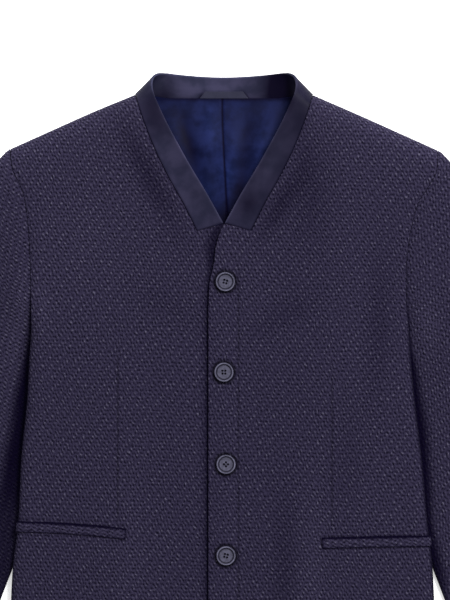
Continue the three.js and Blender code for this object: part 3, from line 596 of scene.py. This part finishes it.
def band_surface(u, v):
    """Band: straight across from its seam (u 0) to its free edge (u 1), each a spline round the neck; v runs
    from the right end of the V, over the centre back at 0, to the left end."""
    right, left = band_sections("right"), band_sections("left")
    seam, edge = (np.concatenate([r[:0:-1], l]) for r, l in zip(right, left))
    t = (v + BAND_LAST) / (2 * BAND_LAST)
    return mix(spline(seam, t), spline(edge, t), u[..., None])


def label_surface(a, b):
    """Label: a trapezoid on the inner face of the band; a runs -1..1 along it and b 0..1 up."""
    width = BAND_BACK["neck_y"][0] - BACK_NECK_Y - BAND_CLEAR
    (low_half, low_y), (top_half, top_y) = LABEL_ENDS
    u = (mix(low_y, top_y, b) - BACK_NECK_Y - BAND_CLEAR) / width
    v = a * mix(low_half, top_half, b) / BODY_ROWS["back_x"][2]
    return band_surface(u, v) + np.array([0, 0, BAND_WALL + LABEL_CLEAR + LABEL_WALL])


def lining_surface(side, u, v):
    """Half of the back lining: u runs 0..1 from its centre seam, v is the row. It lies on the back and hangs
    in soft folds that start below the neck."""
    x = mix(LINING_SEAM_X, at_row(LINING_ROWS, v, "half"), u)
    y = at_row(LINING_ROWS, v, "y")
    y = y + (1 - ease(v / NECK_ROWS)) * (NECK_LAP + np.interp(x, *NECK_RISE))
    hangs = ease((LINING_HANGS - y) / LINING_HANG_WIDTH)
    drape = (LINING_LOOSE + folds(LINING_FOLDS, own_x(side, x), y)) * hangs
    back = low_height(x, y) + BACK_WALL + LINING_CLEAR + LINING_WALL
    z = back + np.maximum(drape, -LINING_SINKS) + LINING_SWELL * between(y, *LINING_SWELLS)
    points = place(side, x, y, z - seam_dip(x, *LINING_SEAM))
    points[..., 0] += (LINING_SWAY[0] + LINING_SWAY[1] * between(y, *LINING_SWAYS)) * (1 - u)
    return points


def row_of_level(y):
    """Row number of a level below the chest, where a front's rows are level."""
    levels = BODY_ROWS["outer"]
    return np.interp(-y, -levels, np.arange(len(levels)))


def welt_start(side):
    """The front's u where a welt starts."""
    x, y, _ = POCKETS[side]
    inner = smooth(FRONT_EDGE, y, "facing") + SEAM_GAP / 2
    flat_end = smooth(BODY_EDGE, y, side) - SIDE_ROLL
    return 1 + (x - inner) / (flat_end - inner)


def welt_surface(side, u, b):
    """Welt: the front's own points moved out. u runs along the front and round its fold, b 0..1 down. Its
    mouth rises along the front in a shallow bow."""
    start_x, start_y, end_y = POCKETS[side]
    level = front_surface(side, u, row_of_level(np.full_like(u, start_y)))
    edge = smooth(BODY_EDGE, start_y, side)
    along = np.clip((np.abs(level[..., 0]) - start_x) / (edge - start_x), 0, 1)
    v = row_of_level(mix(start_y, end_y, along * (2 - along)) - WELT_HEIGHT * b)
    points = front_surface(side, u, v)
    out = np.cross(np.gradient(points, axis=1), np.gradient(points, axis=0))
    out /= np.linalg.norm(out, axis=-1, keepdims=True) * (1 if side == "left" else -1)
    swell = WELT_SWELL * np.sin(np.pi * b) + WELT_MOUTH_LIFT * (1 - b)
    return points - out * (SEAM_GAP + WELT_WALL + swell)[..., None]


# ---- making a mesh
def grid(surface, us, vs, *which):
    """Points of a surface on every pair of a u and a v; which names the side, and the layer."""
    u, v = np.meshgrid(us, vs)
    return surface(*which, u, v)


def cloth_map(points, lean):
    """Where each point lies on the flat cloth: its x and y, plus what the surface's slope adds along the
    columns and rows, turned by the lean."""
    dx, dz = np.diff(points[..., 0], axis=1), np.diff(points[..., 2], axis=1)
    more_x = (np.hypot(dx, dz) - np.abs(dx)) * np.sign(dx)
    dy, dz = np.diff(points[..., 1], axis=0), np.diff(points[..., 2], axis=0)
    more_y = (np.hypot(dy, dz) - np.abs(dy)) * np.sign(dy)
    u = points[..., 0] + np.pad(np.cumsum(more_x, axis=1), ((0, 0), (1, 0)))
    added = np.pad(np.cumsum(more_y, axis=0), ((1, 0), (0, 0)))
    v = points[..., 1] + added - added[-1]
    c, s = math.cos(math.radians(lean)), math.sin(math.radians(lean))
    return np.stack([u * c + v * s, v * c - u * s], axis=-1)


def add_mesh(name, points, faces, uv, material, painted_shading):
    """Mesh of four-cornered faces, with the cloth map, and the painted shade and painted light as its tone
    attribute.
    """
    mesh = bpy.data.meshes.new(name)
    mesh.vertices.add(len(points))
    mesh.vertices.foreach_set("co", (points * 0.001).astype(np.float32).ravel())
    mesh.loops.add(faces.size)
    mesh.loops.foreach_set("vertex_index", faces.ravel().astype(np.int32))
    mesh.polygons.add(len(faces))
    mesh.polygons.foreach_set("loop_start", np.arange(0, faces.size, 4, dtype=np.int32))
    mesh.polygons.foreach_set("use_smooth", np.ones(len(faces), bool))
    layer = mesh.uv_layers.new(name="cloth")
    layer.data.foreach_set("uv", (uv[faces.ravel()] * 0.001).astype(np.float32).ravel())
    # The tone attribute holds painted shade and painted light: below 1 painted shade, above 1 painted light.
    tone = mesh.attributes.new("tone", "FLOAT", "POINT")
    tone.data.foreach_set("value", painted_shading.astype(np.float32))
    mesh.materials.append(material)
    mesh.update()
    mesh.validate()
    piece = bpy.data.objects.new(name, mesh)
    bpy.context.scene.collection.objects.link(piece)
    return piece


def settled(points):
    """The garment's own unevenness as it was laid down: the shoulders pushed up a little, the right more."""
    x, y = points[..., 0], points[..., 1]
    moved = points.copy()
    push = between(y, *PUSH_LEVELS) * between(np.abs(x), *PUSH_SPREAD)
    moved[..., 1] += push * np.where(x < 0, PUSH["right"], PUSH["left"])
    return moved


def cloth(name, points, thickness, side_up, material, lean=0, keep=None, round_edge=0.6, painted_shading=1.0):
    """A closed shell of cloth. points is a grid on its outer face, side_up 1 or -1 so that this face looks
    away from the garment; the inner face lies the thickness behind it along the mean normal round each
    point, and a rim joins them along every open border. A bevel rounds the rim."""
    rows, columns = points.shape[:2]
    index = np.arange(rows * columns).reshape(rows, columns)
    quads = np.stack([index[:-1, :-1], index[:-1, 1:], index[1:, 1:], index[1:, :-1]], axis=-1)
    quads = quads[keep] if keep is not None else quads.reshape(-1, 4)
    if side_up < 0:
        quads = quads[:, ::-1]
    flat = settled(points).reshape(-1, 3)
    corner = flat[quads]
    face_normal = np.cross(corner[:, 2] - corner[:, 0], corner[:, 3] - corner[:, 1])
    normal = np.zeros_like(flat)
    for k in range(4):
        np.add.at(normal, quads[:, k], face_normal)
    normal /= np.maximum(np.linalg.norm(normal, axis=1, keepdims=True), 1e-12)
    start, end = quads.ravel(), np.roll(quads, -1, axis=1).ravel()
    total = len(flat)
    open_edge = ~np.isin(start * total + end, end * total + start)
    a, b = start[open_edge], end[open_edge]
    rim = np.stack([b, a, a + total, b + total], axis=-1)
    faces = np.concatenate([quads, quads[:, ::-1] + total, rim])
    both = np.concatenate([flat, flat - normal * thickness])
    used, faces = np.unique(faces, return_inverse=True)
    maps = np.tile(cloth_map(points, lean).reshape(-1, 2), (2, 1))[used]
    painted_shading = np.tile(np.broadcast_to(painted_shading, (rows, columns)).ravel(), 2)[used]
    piece = add_mesh(name, both[used], faces.reshape(-1, 4), maps, material, painted_shading)
    bevel = piece.modifiers.new("rounded edge", "BEVEL")
    bevel.width = round_edge * 0.001
    bevel.segments = 3
    bevel.limit_method = "ANGLE"
    bevel.angle_limit = math.radians(55)
    return piece


def closed_mesh(name, points, material, painted_shading):
    """Mesh of a grid whose last column meets its first."""
    rows, columns = points.shape[:2]
    index = np.arange(rows * columns).reshape(rows, columns)
    index[:, -1] = index[:, 0]
    quads = np.stack([index[:-1, :-1], index[1:, :-1], index[1:, 1:], index[:-1, 1:]], axis=-1)
    flat = points.reshape(-1, 3)
    return add_mesh(name, flat, quads.reshape(-1, 4), flat[:, :2], material, painted_shading.ravel())


def spread(start, end, count, ends):
    """count + 1 numbers from start to end, drawn towards both ends by a sine of the way along."""
    t = np.linspace(0, 1, count + 1)
    return mix(start, end, t - ends * np.sin(2 * np.pi * t) / (2 * np.pi))


def chain(*runs):
    """Runs of numbers, each of which starts where the one before it ends, as one run."""
    return np.concatenate([run[:-1] for run in runs[:-1]] + [runs[-1]])


def row_numbers(per_span):
    """Row numbers from 0 on, each whole row included, with this many to each span."""
    return chain(*(np.linspace(i, i + 1, n + 1) for i, n in enumerate(per_span)))


# ---- materials
FLOAT, COLOUR, VECTOR = "NodeSocketFloat", "NodeSocketColor", "NodeSocketVector"
# The weave's repeat in metres, its waves as turns across and along it and a strength, and its threads' slant.
CELL = (0.0101, 0.0124, 1)
WAVES = ((0, 3, 0.8), (2, 2, 1.05), (3, 1, 0.9), (1, -1, 0.5))
THREAD_TURN = (0, 0, math.radians(18))


def shade(red, green, blue):
    """A screen colour of 0 to 255 a channel as the linear colour that shaders use."""
    c = np.array([red, green, blue]) / 255
    return (*np.where(c <= 0.04045, c / 12.92, ((c + 0.055) / 1.055) ** 2.4), 1)


class Nodes:
    """Shorthand for wiring one node tree: a socket or a number goes in, a socket comes out."""

    def __init__(self, tree):
        self.tree = tree

    def add(self, kind, inputs=(), out=0, **settings):
        """A node; gives one output, or all of them where out is None."""
        node = self.tree.nodes.new("ShaderNode" + kind)
        for name, value in settings.items():
            setattr(node, name, value)
        for key, value in dict(inputs).items():
            self.feed(node.inputs[key], value)
        return node.outputs if out is None else node.outputs[out]

    def feed(self, socket, value):
        if isinstance(value, bpy.types.NodeSocket):
            self.tree.links.new(value, socket)
        else:
            socket.default_value = value

    def math(self, operation, a, b=0.0, c=0.0, clamp=False):
        return self.add("Math", {0: a, 1: b, 2: c}, operation=operation, use_clamp=clamp)

    def vector(self, operation, a, b=(0, 0, 0), out=0):
        return self.add("VectorMath", {0: a, 1: b}, out, operation=operation)

    def scale(self, vector, by):
        return self.add("VectorMath", {0: vector, 3: by}, operation="SCALE")

    def blend(self, factor, a, b, clamp=True):
        return self.add("Mix", {0: factor, 6: a, 7: b}, 2, data_type="RGBA", clamp_factor=clamp)

    def ramp(self, value, low, high, to_low=0.0, to_high=1.0):
        inputs = {0: value, 1: low, 2: high, 3: to_low, 4: to_high}
        return self.add("MapRange", inputs, interpolation_type="SMOOTHSTEP")

    def bell(self, away, width):
        t = self.math("DIVIDE", away, width)
        return self.math("EXPONENT", self.math("MULTIPLY", self.math("MULTIPLY", t, t), -1))

    def noise(self, where, scale, detail, rough=0.5, out=0):
        inputs = {"Vector": where, "Scale": scale, "Detail": detail, "Roughness": rough}
        return self.add("TexNoise", inputs, out)

    def drift(self, where, scale, detail, reach):
        """Noise as a direction, up to half the reach either way."""
        middle = self.vector("SUBTRACT", self.noise(where, scale, detail, out=1), (0.5, 0.5, 0.5))
        return self.vector("MULTIPLY", middle, reach)


def group(name, inputs, outputs):
    """An empty shader node group with named sockets of these kinds."""
    tree = bpy.data.node_groups.new(name, "ShaderNodeTree")
    for way, sockets in (("INPUT", inputs), ("OUTPUT", outputs)):
        for socket, kind in sockets.items():
            tree.interface.new_socket(socket, in_out=way, socket_type=kind)
    given, out = tree.nodes.new("NodeGroupInput").outputs, tree.nodes.new("NodeGroupOutput").inputs
    return tree, Nodes(tree), given, out


def weave_group():
    """The wool's weave, from four plane waves whose crests fall together on slanting flecks: three are fine
    ribs, and the fourth makes every third fleck the strongest. Crests are pale and troughs dark."""
    tree, n, given, out = group(
        "blazer wool weave",
        {"Map": VECTOR, "Ground": COLOUR, "Gap": COLOUR, "Fleck": COLOUR},
        {"Color": COLOUR, "Height": FLOAT, "Roughness": FLOAT},
    )
    slow = n.drift(given["Map"], 9.0, 0.0, (0.012, 0.008, 0))
    fine = n.drift(given["Map"], 110.0, 1.0, (0.0037, 0.0037, 0))
    laid = n.vector("ADD", given["Map"], n.vector("ADD", slow, fine))
    cell = n.vector("DIVIDE", laid, CELL)
    weave = 0.0
    for across, along, strength in WAVES:
        turn = (2 * math.pi * across, 2 * math.pi * along, 0)
        phase = n.vector("DOT_PRODUCT", cell, turn, out=1)
        weave = n.math("MULTIPLY_ADD", n.math("COSINE", phase), strength, weave)
    chance = n.noise(given["Map"], 300.0, 1.0)
    slanting = {"Vector": given["Map"], "Rotation": THREAD_TURN, "Scale": (1, 0.5, 1)}
    thread = n.noise(n.add("Mapping", slanting), 800.0, 2.0, 0.65)
    loose = n.math("MULTIPLY", n.math("SUBTRACT", thread, 0.5), 9.0)
    weave = n.math("ADD", weave, loose)
    ground = n.blend(n.ramp(weave, -3.2, 0.8), given["Gap"], given["Ground"])
    pale = n.math("MULTIPLY", n.ramp(weave, 0.9, 3.6), n.ramp(chance, 0.38, 0.66, 0.14, 1.12))
    n.feed(out["Color"], n.blend(pale, ground, given["Fleck"]))
    n.feed(out["Height"], n.math("MULTIPLY", weave, 0.16))
    n.feed(out["Roughness"], n.ramp(weave, -1.0, 3.0, 0.92, 0.78))
    return tree


def satin_group():
    """Satin: fine threads along the cloth and a soft uneven tone, with clouds of a given scale."""
    tree, n, given, out = group(
        "blazer satin threads",
        {"Map": VECTOR, "Colour": COLOUR, "Pale": COLOUR, "Clouds": FLOAT, "Least roughness": FLOAT},
        {"Color": COLOUR, "Height": FLOAT, "Roughness": FLOAT},
    )
    fine = n.add("Mapping", {"Vector": given["Map"], "Scale": (1, 0.16, 1)})
    threads = n.noise(fine, 2600.0, 1.0)
    cloudy = n.noise(given["Map"], given["Clouds"], 3.0, 0.6)
    tone = n.math("MULTIPLY_ADD", threads, 0.3, n.ramp(cloudy, 0.34, 0.66, -0.1, 0.8), clamp=True)
    n.feed(out["Color"], n.blend(tone, given["Colour"], given["Pale"]))
    n.feed(out["Height"], threads)
    n.feed(out["Roughness"], n.math("MULTIPLY_ADD", cloudy, 0.12, given["Least roughness"]))
    return tree


def horn_group():
    """Soft mottling like horn, for buttons and their thread."""
    tree, n, given, out = group("blazer horn mottle", {"Map": VECTOR, "Colour": COLOUR, "Pale": COLOUR},
                                {"Color": COLOUR, "Roughness": FLOAT})
    mottle = n.noise(given["Map"], 320.0, 2.0)
    n.feed(out["Color"], n.blend(n.ramp(mottle, 0.35, 0.65), given["Colour"], given["Pale"]))
    n.feed(out["Roughness"], n.math("MULTIPLY_ADD", mottle, 0.1, 0.42))
    return tree


def tone_group():
    """A colour with painted shade and painted light from a tone: darker below 1, towards a navy black, and
    paler above it.
    """
    tree, n, given, out = group("blazer painted shading", {"Color": COLOUR, "Painted shading": FLOAT}, {"Color": COLOUR})
    n.feed(out["Color"], n.blend(given["Painted shading"], shade(4, 1, 20), given["Color"], clamp=False))
    return tree


WEAVE, SATIN_THREADS, HORN, PAINTED_SHADING_NODES = weave_group(), satin_group(), horn_group(), tone_group()


def new_material(name, constants):
    """A material, its nodes and its shader's inputs, on which these constants are set."""
    material = bpy.data.materials.new(name)
    material.use_nodes = True
    given = material.node_tree.nodes["Principled BSDF"].inputs
    for socket, value in constants.items():
        given[socket].default_value = value
    return material, Nodes(material.node_tree), given


def seam_lines(n, where, lines):
    """1 on plain cloth, and less along upright seams: each is a narrow bell across its own line."""
    x, y, _ = n.add("SeparateXYZ", {0: where}, None)
    lit = 1.0
    for line_x, low, high, half_width, depth in lines:
        across = n.bell(n.math("SUBTRACT", x, line_x), half_width)
        above, below = n.ramp(y, low - 0.01, low + 0.01), n.ramp(y, high - 0.03, high + 0.01, 1.0, 0.0)
        ends = n.math("MULTIPLY", above, below)
        line = n.math("MULTIPLY", n.math("MULTIPLY", across, ends), -depth)
        lit = n.math("MULTIPLY", lit, n.math("ADD", line, 1.0))
    return lit


def ring_shades(n, where, middles):
    """1 on plain cloth, and less in a ring round each middle: the shade under a button's rim."""
    lit = 1.0
    for middle in middles:
        flat = n.vector("MULTIPLY", n.vector("SUBTRACT", where, (*middle, 0)), (1, 1, 0))
        away = n.math("SUBTRACT", n.vector("LENGTH", flat, out=1), RING_RADIUS)
        lit = n.math("MULTIPLY", lit, n.math("MULTIPLY_ADD", n.bell(away, RING_WIDTH), -RING_DEPTH, 1.0))
    return lit


def group_material(name, constants, tree, inputs, relief=None, lines=(), middles=()):
    """A material whose colour, roughness and relief come from a group; without relief it is a solid's. The
    colour carries the mesh's painted shade and painted light, and on the fronts the seams' lines and the
    buttons' rings of painted shade."""
    material, n, shader = new_material(name, constants)
    where = n.add("UVMap", uv_map="cloth") if relief else n.add("TexCoord", out=3)
    made = n.add("Group", {"Map": where, **inputs}, None, node_tree=tree)
    # The mesh's tone attribute: painted shade and painted light.
    tone = n.add("Attribute", out=2, attribute_name="tone")
    colour = n.add("Group", {"Color": made["Color"], "Painted shading": tone}, node_tree=PAINTED_SHADING_NODES)
    if lines:
        at = n.add("TexCoord", out=3)
        colour = n.scale(n.scale(colour, seam_lines(n, at, lines)), ring_shades(n, at, middles))
    n.feed(shader["Base Color"], colour)
    n.feed(shader["Roughness"], made["Roughness"])
    if relief:
        distance, strength = relief
        height = {"Height": made["Height"], "Distance": distance, "Strength": strength}
        n.feed(shader["Normal"], n.add("Bump", height))
    return material


def satin_material(name, colour, pale, least_rough, gloss, clouds=34.0):
    inputs = {"Colour": colour, "Pale": pale, "Clouds": clouds, "Least roughness": least_rough}
    return group_material(name, {"Specular IOR Level": gloss}, SATIN_THREADS, inputs, (0.0001, 0.6))


def horn_material(name, colour, pale):
    return group_material(name, {"Specular IOR Level": 0.12}, HORN, {"Colour": colour, "Pale": pale})


MATT_WOOL = (
    {"Specular IOR Level": 0.03, "Sheen Weight": 0.003, "Sheen Roughness": 0.5}, WEAVE,
    {"Ground": shade(42, 38, 58), "Gap": shade(8, 6, 20), "Fleck": shade(78, 75, 92)}, (0.001, 1.0),
)
BUTTON_MIDDLES = [(x * 0.001, y * 0.001) for x, y in zip(BUTTONS["x"], BUTTONS["y"])]
WOOL = group_material("navy wool", *MATT_WOOL)
FRONT_WOOL = group_material("navy wool of the fronts", *MATT_WOOL, FRONT_SEAMS, BUTTON_MIDDLES)
SATIN = satin_material("navy satin", shade(25, 25, 43), shade(38, 36, 56), 0.44, 0.05)
LINING = satin_material("blue lining", shade(7, 11, 40), shade(18, 24, 60), 0.49, 0.04, clouds=44.0)
LABEL = satin_material("woven label", shade(38, 38, 54), shade(44, 44, 61), 0.54, 0.08)
BUTTON = horn_material("navy button", shade(61, 60, 75), shade(73, 72, 89))
THREAD = horn_material("navy thread", shade(56, 56, 72), shade(64, 64, 81))
FLOOR, _, _ = new_material("pale floor", {
    "Base Color": (0.93, 0.93, 0.93, 1), "Roughness": 0.9, "Specular IOR Level": 0.1,
    "Emission Color": (1, 1, 1, 1), "Emission Strength": 0.5})


# ---- the blazer
def lining_tones(points, us):
    """The lining's painted shade and painted light, and a dark line along its centre seam."""
    seam = 1 - 0.95 * bell(us * LINING_HALF, 0.95)
    return np.maximum(tone_of(LINING_PAINTED_SHADING, points) * seam, DARKEST_PAINTED_SHADE)


def welt_tones(us, bs):
    """A welt's painted shade: dark in its bowed mouth, along its lower edge and at its start."""
    along, down = np.meshgrid(np.linspace(0, 1, len(us)), bs)
    lit = 1 - 0.97 * np.exp(-((down / (0.18 + 0.09 * np.sin(np.pi * along))) ** 6))
    lit -= 0.9 * bell(1 - down, 0.11) + 0.9 * bell(along, 0.012)
    return np.maximum(1.12 * lit, DARKEST_SHADE)


def band_tones(points, us, vs):
    """The band's painted shade and painted light with its seam line: dark along its seam, painted shade at
    its ends and a painted highlight along its rounded free edge.
    """
    across, along = np.meshgrid(us, vs)
    to_end = (BAND_LAST - np.abs(along)) * BAND_ROW
    lit = 1 - 0.8 * bell(across * BAND_WIDTH, 1.0) - 0.5 * bell(to_end, 0.9)
    lit += 1.4 * bell((1 - across) * BAND_WIDTH, 1.0)
    return np.maximum(tone_of(BAND_PAINTED_SHADING, points) * lit, 0.05)


body_v = row_numbers(ROWS_PER_SPAN)
side_v = chain(np.linspace(ROW_AT_SIDE_TOP, ROW_AT_V, 4), body_v[body_v >= ROW_AT_V])
back_v = chain(body_v[body_v <= ROW_AT_V - 1], np.linspace(ROW_AT_V - 1, ROW_AT_SIDE_TOP, 5), side_v)
sleeve_spans = len(SLEEVE_ROWS["level"]) - 1
for side in ("left", "right"):
    up = -1 if side == "left" else 1
    us = chain(np.linspace(0, 1, 19), spread(1, 2, 64, 0.7), np.linspace(2, 3, 11))
    points = grid(front_surface, us, body_v, side)
    cells_u, cells_v = np.meshgrid(us[:-1], body_v[:-1])
    # Painted shade and painted light on the fronts: patches, shade beside the lap and the side fold, and
    # light on the shoulders.
    painted_shading = tone_of(WOOL_PAINTED_SHADING, points) * lap_shade(side, points) * fold_shade(side, points)
    cloth(f"wool_front_{side}", points, FRONT_WALL, up, FRONT_WOOL, painted_shading=painted_shading * shoulder_light(points),
          keep=(cells_u >= 0.999) | (cells_v >= ROW_AT_V - 1e-6))

    us = chain(np.linspace(0, 1, 15), np.linspace(1, 2, 11))
    cloth(f"wool_side_{side}", grid(side_surface, us, side_v, side), BACK_WALL, -up, WOOL)
    points = grid(back_surface, np.linspace(0, 1, 41), back_v, side)
    cloth(f"wool_back_{side}", points, BACK_WALL, -up, WOOL)

    for layer, (inner, middle, outer), rows in (("top", (7, 58, 14), 12), ("under", (6, 22, 8), 6)):
        us = chain(np.linspace(0, 1, inner), spread(1, 2, middle, 0.5), np.linspace(2, 3, outer))
        points = grid(sleeve_surface, us, row_numbers([rows] * sleeve_spans), side, layer)
        # Painted shade and painted light on the sleeves: patches, shade beside the body and light on the
        # shoulders.
        painted_shading = tone_of(WOOL_PAINTED_SHADING, points) * crevice(side, points) * shoulder_light(points)
        cloth(f"wool_sleeve_{side}_{layer}", points, SLEEVE_WALL, up if layer == "top" else -up, WOOL,
              lean=SLEEVE_LEAN[side], painted_shading=painted_shading)

    us = chain(np.linspace(0, 0.04, 8), np.linspace(0.04, 1, 78))
    points = grid(lining_surface, us, np.linspace(0, 6, 161), side)
    cloth(f"lining_{side}", points, LINING_WALL, up, LINING, round_edge=0.4, painted_shading=lining_tones(points, us))

    us, bs = chain(np.linspace(welt_start(side), 2, 90), np.linspace(2, WELT_END, 14)), np.linspace(0, 1, 31)
    points = grid(welt_surface, us, bs, side)
    cloth(f"wool_welt_{side}", points, WELT_WALL, up, WOOL, lean=WELT_LEAN, round_edge=0.5,
          painted_shading=welt_tones(us, bs))

us = np.array([0, 0.02, 0.045, 0.08, 0.15, 0.25, 0.36, 0.48, 0.6, 0.7, 0.79, 0.87, 0.93, 0.965, 1])
vs = chain(np.linspace(-BAND_LAST, -2, 170), np.linspace(-2, 2, 101), np.linspace(2, BAND_LAST, 170))
points = grid(band_surface, us, vs)
cloth("satin_neckband", points, BAND_WALL, 1, SATIN, round_edge=1.0, painted_shading=band_tones(points, us, vs))
points = grid(label_surface, np.linspace(-1, 1, 31), np.linspace(0, 1, 9))
cloth("label_patch", points, LABEL_WALL, 1, LABEL, round_edge=0.3)


# ---- buttons
def button_disc():
    """A turned disc on z = 0 with four holes sunk in its flat middle, and its painted light: a painted
    highlight on the rim, palest to the lower right and upper left, and painted shade in the groove and the
    holes."""
    t = np.append(chain(np.linspace(0, 0.1, 46), np.linspace(0.1, 0.97, 90)), 1)[:, None]
    angle = np.linspace(0, 2 * np.pi, 97)
    section = spline(BUTTON_SECTION, t[:, 0])
    r, z = np.maximum(section[:, :1], 0) + 0 * angle, section[:, 2:] + 0 * angle
    x, y = r * np.cos(angle), r * np.sin(angle)
    nearest = np.hypot(np.abs(x) - HOLE_AT, np.abs(y) - HOLE_AT)
    on_face = t < 0.5
    z = z - np.where(on_face, HOLE_DEPTH * ease((HOLE_RADIUS - nearest) / 0.3), 0)
    # Painted highlight on the rim, strongest to the lower right and upper left.
    rim = 0.45 + 0.7 * np.cos(angle + np.pi / 4) ** 2
    painted_shading = 1 + rim * bell(r - 9.2, 0.6) - 0.85 * bell(r - 7.7, 0.75)
    painted_shading = np.where(on_face, painted_shading * (1 - 0.97 * ease((HOLE_RADIUS + 0.05 - nearest) / 0.3)), painted_shading)
    return (x, y, z), painted_shading


def placed_on_front(button, x, y, z):
    """Points of a button turned in its own plane, then set on the left front along its slope."""
    button_x, button_y, turn = (BUTTONS[c][button] for c in ("x", "y", "turn"))
    c, s = math.cos(math.radians(turn)), math.sin(math.radians(turn))
    x, y = x * c - y * s, x * s + y * c
    below, ground, above = top_height("left", np.full(3, button_x), button_y + np.array([-1, 0, 1]))
    out = np.array([0, (below - above) / 2, 1])
    out /= np.linalg.norm(out)
    across, up_cloth = np.array([1.0, 0, 0]), np.array([0, out[2], -out[1]])
    on_cloth = np.array([button_x, button_y, ground]) + x[..., None] * across + y[..., None] * up_cloth
    return on_cloth + (z + SEAM_GAP)[..., None] * out


disc, disc_painted_light = button_disc()
# A strand comes up out of one hole, crosses the face and goes down the next, where painted shade darkens it.
along, angle = np.meshgrid(np.linspace(-1, 1, 25), np.linspace(0, 2 * np.pi, 13), indexing="ij")
arch = 2.0 - 5.0 * np.maximum(np.abs(along) - 0.3, 0) ** 1.3
strand_painted_shade = 1 - 0.95 * ease((np.abs(along) - 0.35) / 0.25)
for i in range(len(BUTTONS["x"])):
    pieces = [closed_mesh(f"turned_button_{i + 1}", placed_on_front(i, *disc), BUTTON, disc_painted_light)]
    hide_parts(f"button_{i + 1}")
    for row, level in ((-HOLE_AT, "low"), (HOLE_AT, "high")):
        strand = placed_on_front(i, along, row + STRAND * np.cos(angle), arch + STRAND * np.sin(angle))
        pieces.append(closed_mesh(f"thread_{i + 1}_{level}", strand, THREAD, strand_painted_shade))
    for piece in pieces:
        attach(piece, "root")


def declare(name, node, slot, width, length, area, lies_on, side=""):
    """Hides the CAD solid that a piece of cloth stands for and attaches the piece to the root body; its
    finish, its cut in metres and what it lies on are not used.
    """
    piece = bpy.data.objects[name.format(side)]
    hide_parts(node.format(side))
    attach(piece, "root")


# Cuts for each side, and cuts made once: width, length and area are those of what shows of each cut.
PAIRED_CUTS = (
    ("wool_front_{}", "front_{}", "wool", 0.250, 0.733, 0.155, "wool_back_{} wool_side_{} lining_{}"),
    ("wool_side_{}", "side_{}", "wool", 0.097, 0.537, 0.041, "floor"),
    ("wool_back_{}", "back_{}", "wool", 0.225, 0.732, 0.114, "floor"),
    ("wool_sleeve_{}_top", "sleeve_{}_top", "wool", 0.190, 0.660, 0.0876, "wool_sleeve_{}_under"),
    ("wool_sleeve_{}_under", "sleeve_{}_under", "wool", 0.190, 0.660, 0.0876, "floor"),
    ("wool_welt_{}", "welt_{}", "wool", 0.128, 0.012, 0.0015, "wool_front_{}"),
    ("lining_{}", "lining_back_{}", "lining", 0.102, 0.166, 0.0163, "wool_back_{}"),
)
SINGLE_CUTS = (
    ("satin_neckband", "neckband", "satin", 0.63, 0.0235, 0.0140, "wool_back_left wool_back_right"),
    ("label_patch", "label", "label", 0.052, 0.010, 0.00037, "satin_neckband"),
)
for side in ("left", "right"):
    for cut in PAIRED_CUTS:
        declare(*cut, side)
for cut in SINGLE_CUTS:
    declare(*cut)

# ---- floor, light and camera
bpy.ops.mesh.primitive_plane_add(size=40, location=(0, 0, -0.0005))
floor = bpy.context.object
floor.name = "floor"
floor.data.materials.append(FLOOR)

scene = bpy.context.scene
scene.view_settings.view_transform = "Standard"
world = bpy.data.worlds.new("pale studio")
scene.world = world
world.use_nodes = True
world.node_tree.nodes["Background"].inputs["Color"].default_value = (1, 1, 1, 1)
world.node_tree.nodes["Background"].inputs["Strength"].default_value = 0.55

for name, place_at, size, power in LIGHTS:
    light = bpy.data.objects.new(name, bpy.data.lights.new(name, "AREA"))
    light.data.size = size
    light.data.energy = power
    light.location = place_at
    light.rotation_euler = (-mathutils.Vector(place_at)).to_track_quat("-Z", "Y").to_euler()
    scene.collection.objects.link(light)

camera = bpy.data.objects.new("camera", bpy.data.cameras.new("camera"))
camera.data.sensor_width = 36
camera.data.lens = 226.3
camera.location = (0.001, 0.1345, 3.99)
camera.data.clip_end = 50
scene.collection.objects.link(camera)
scene.camera = camera
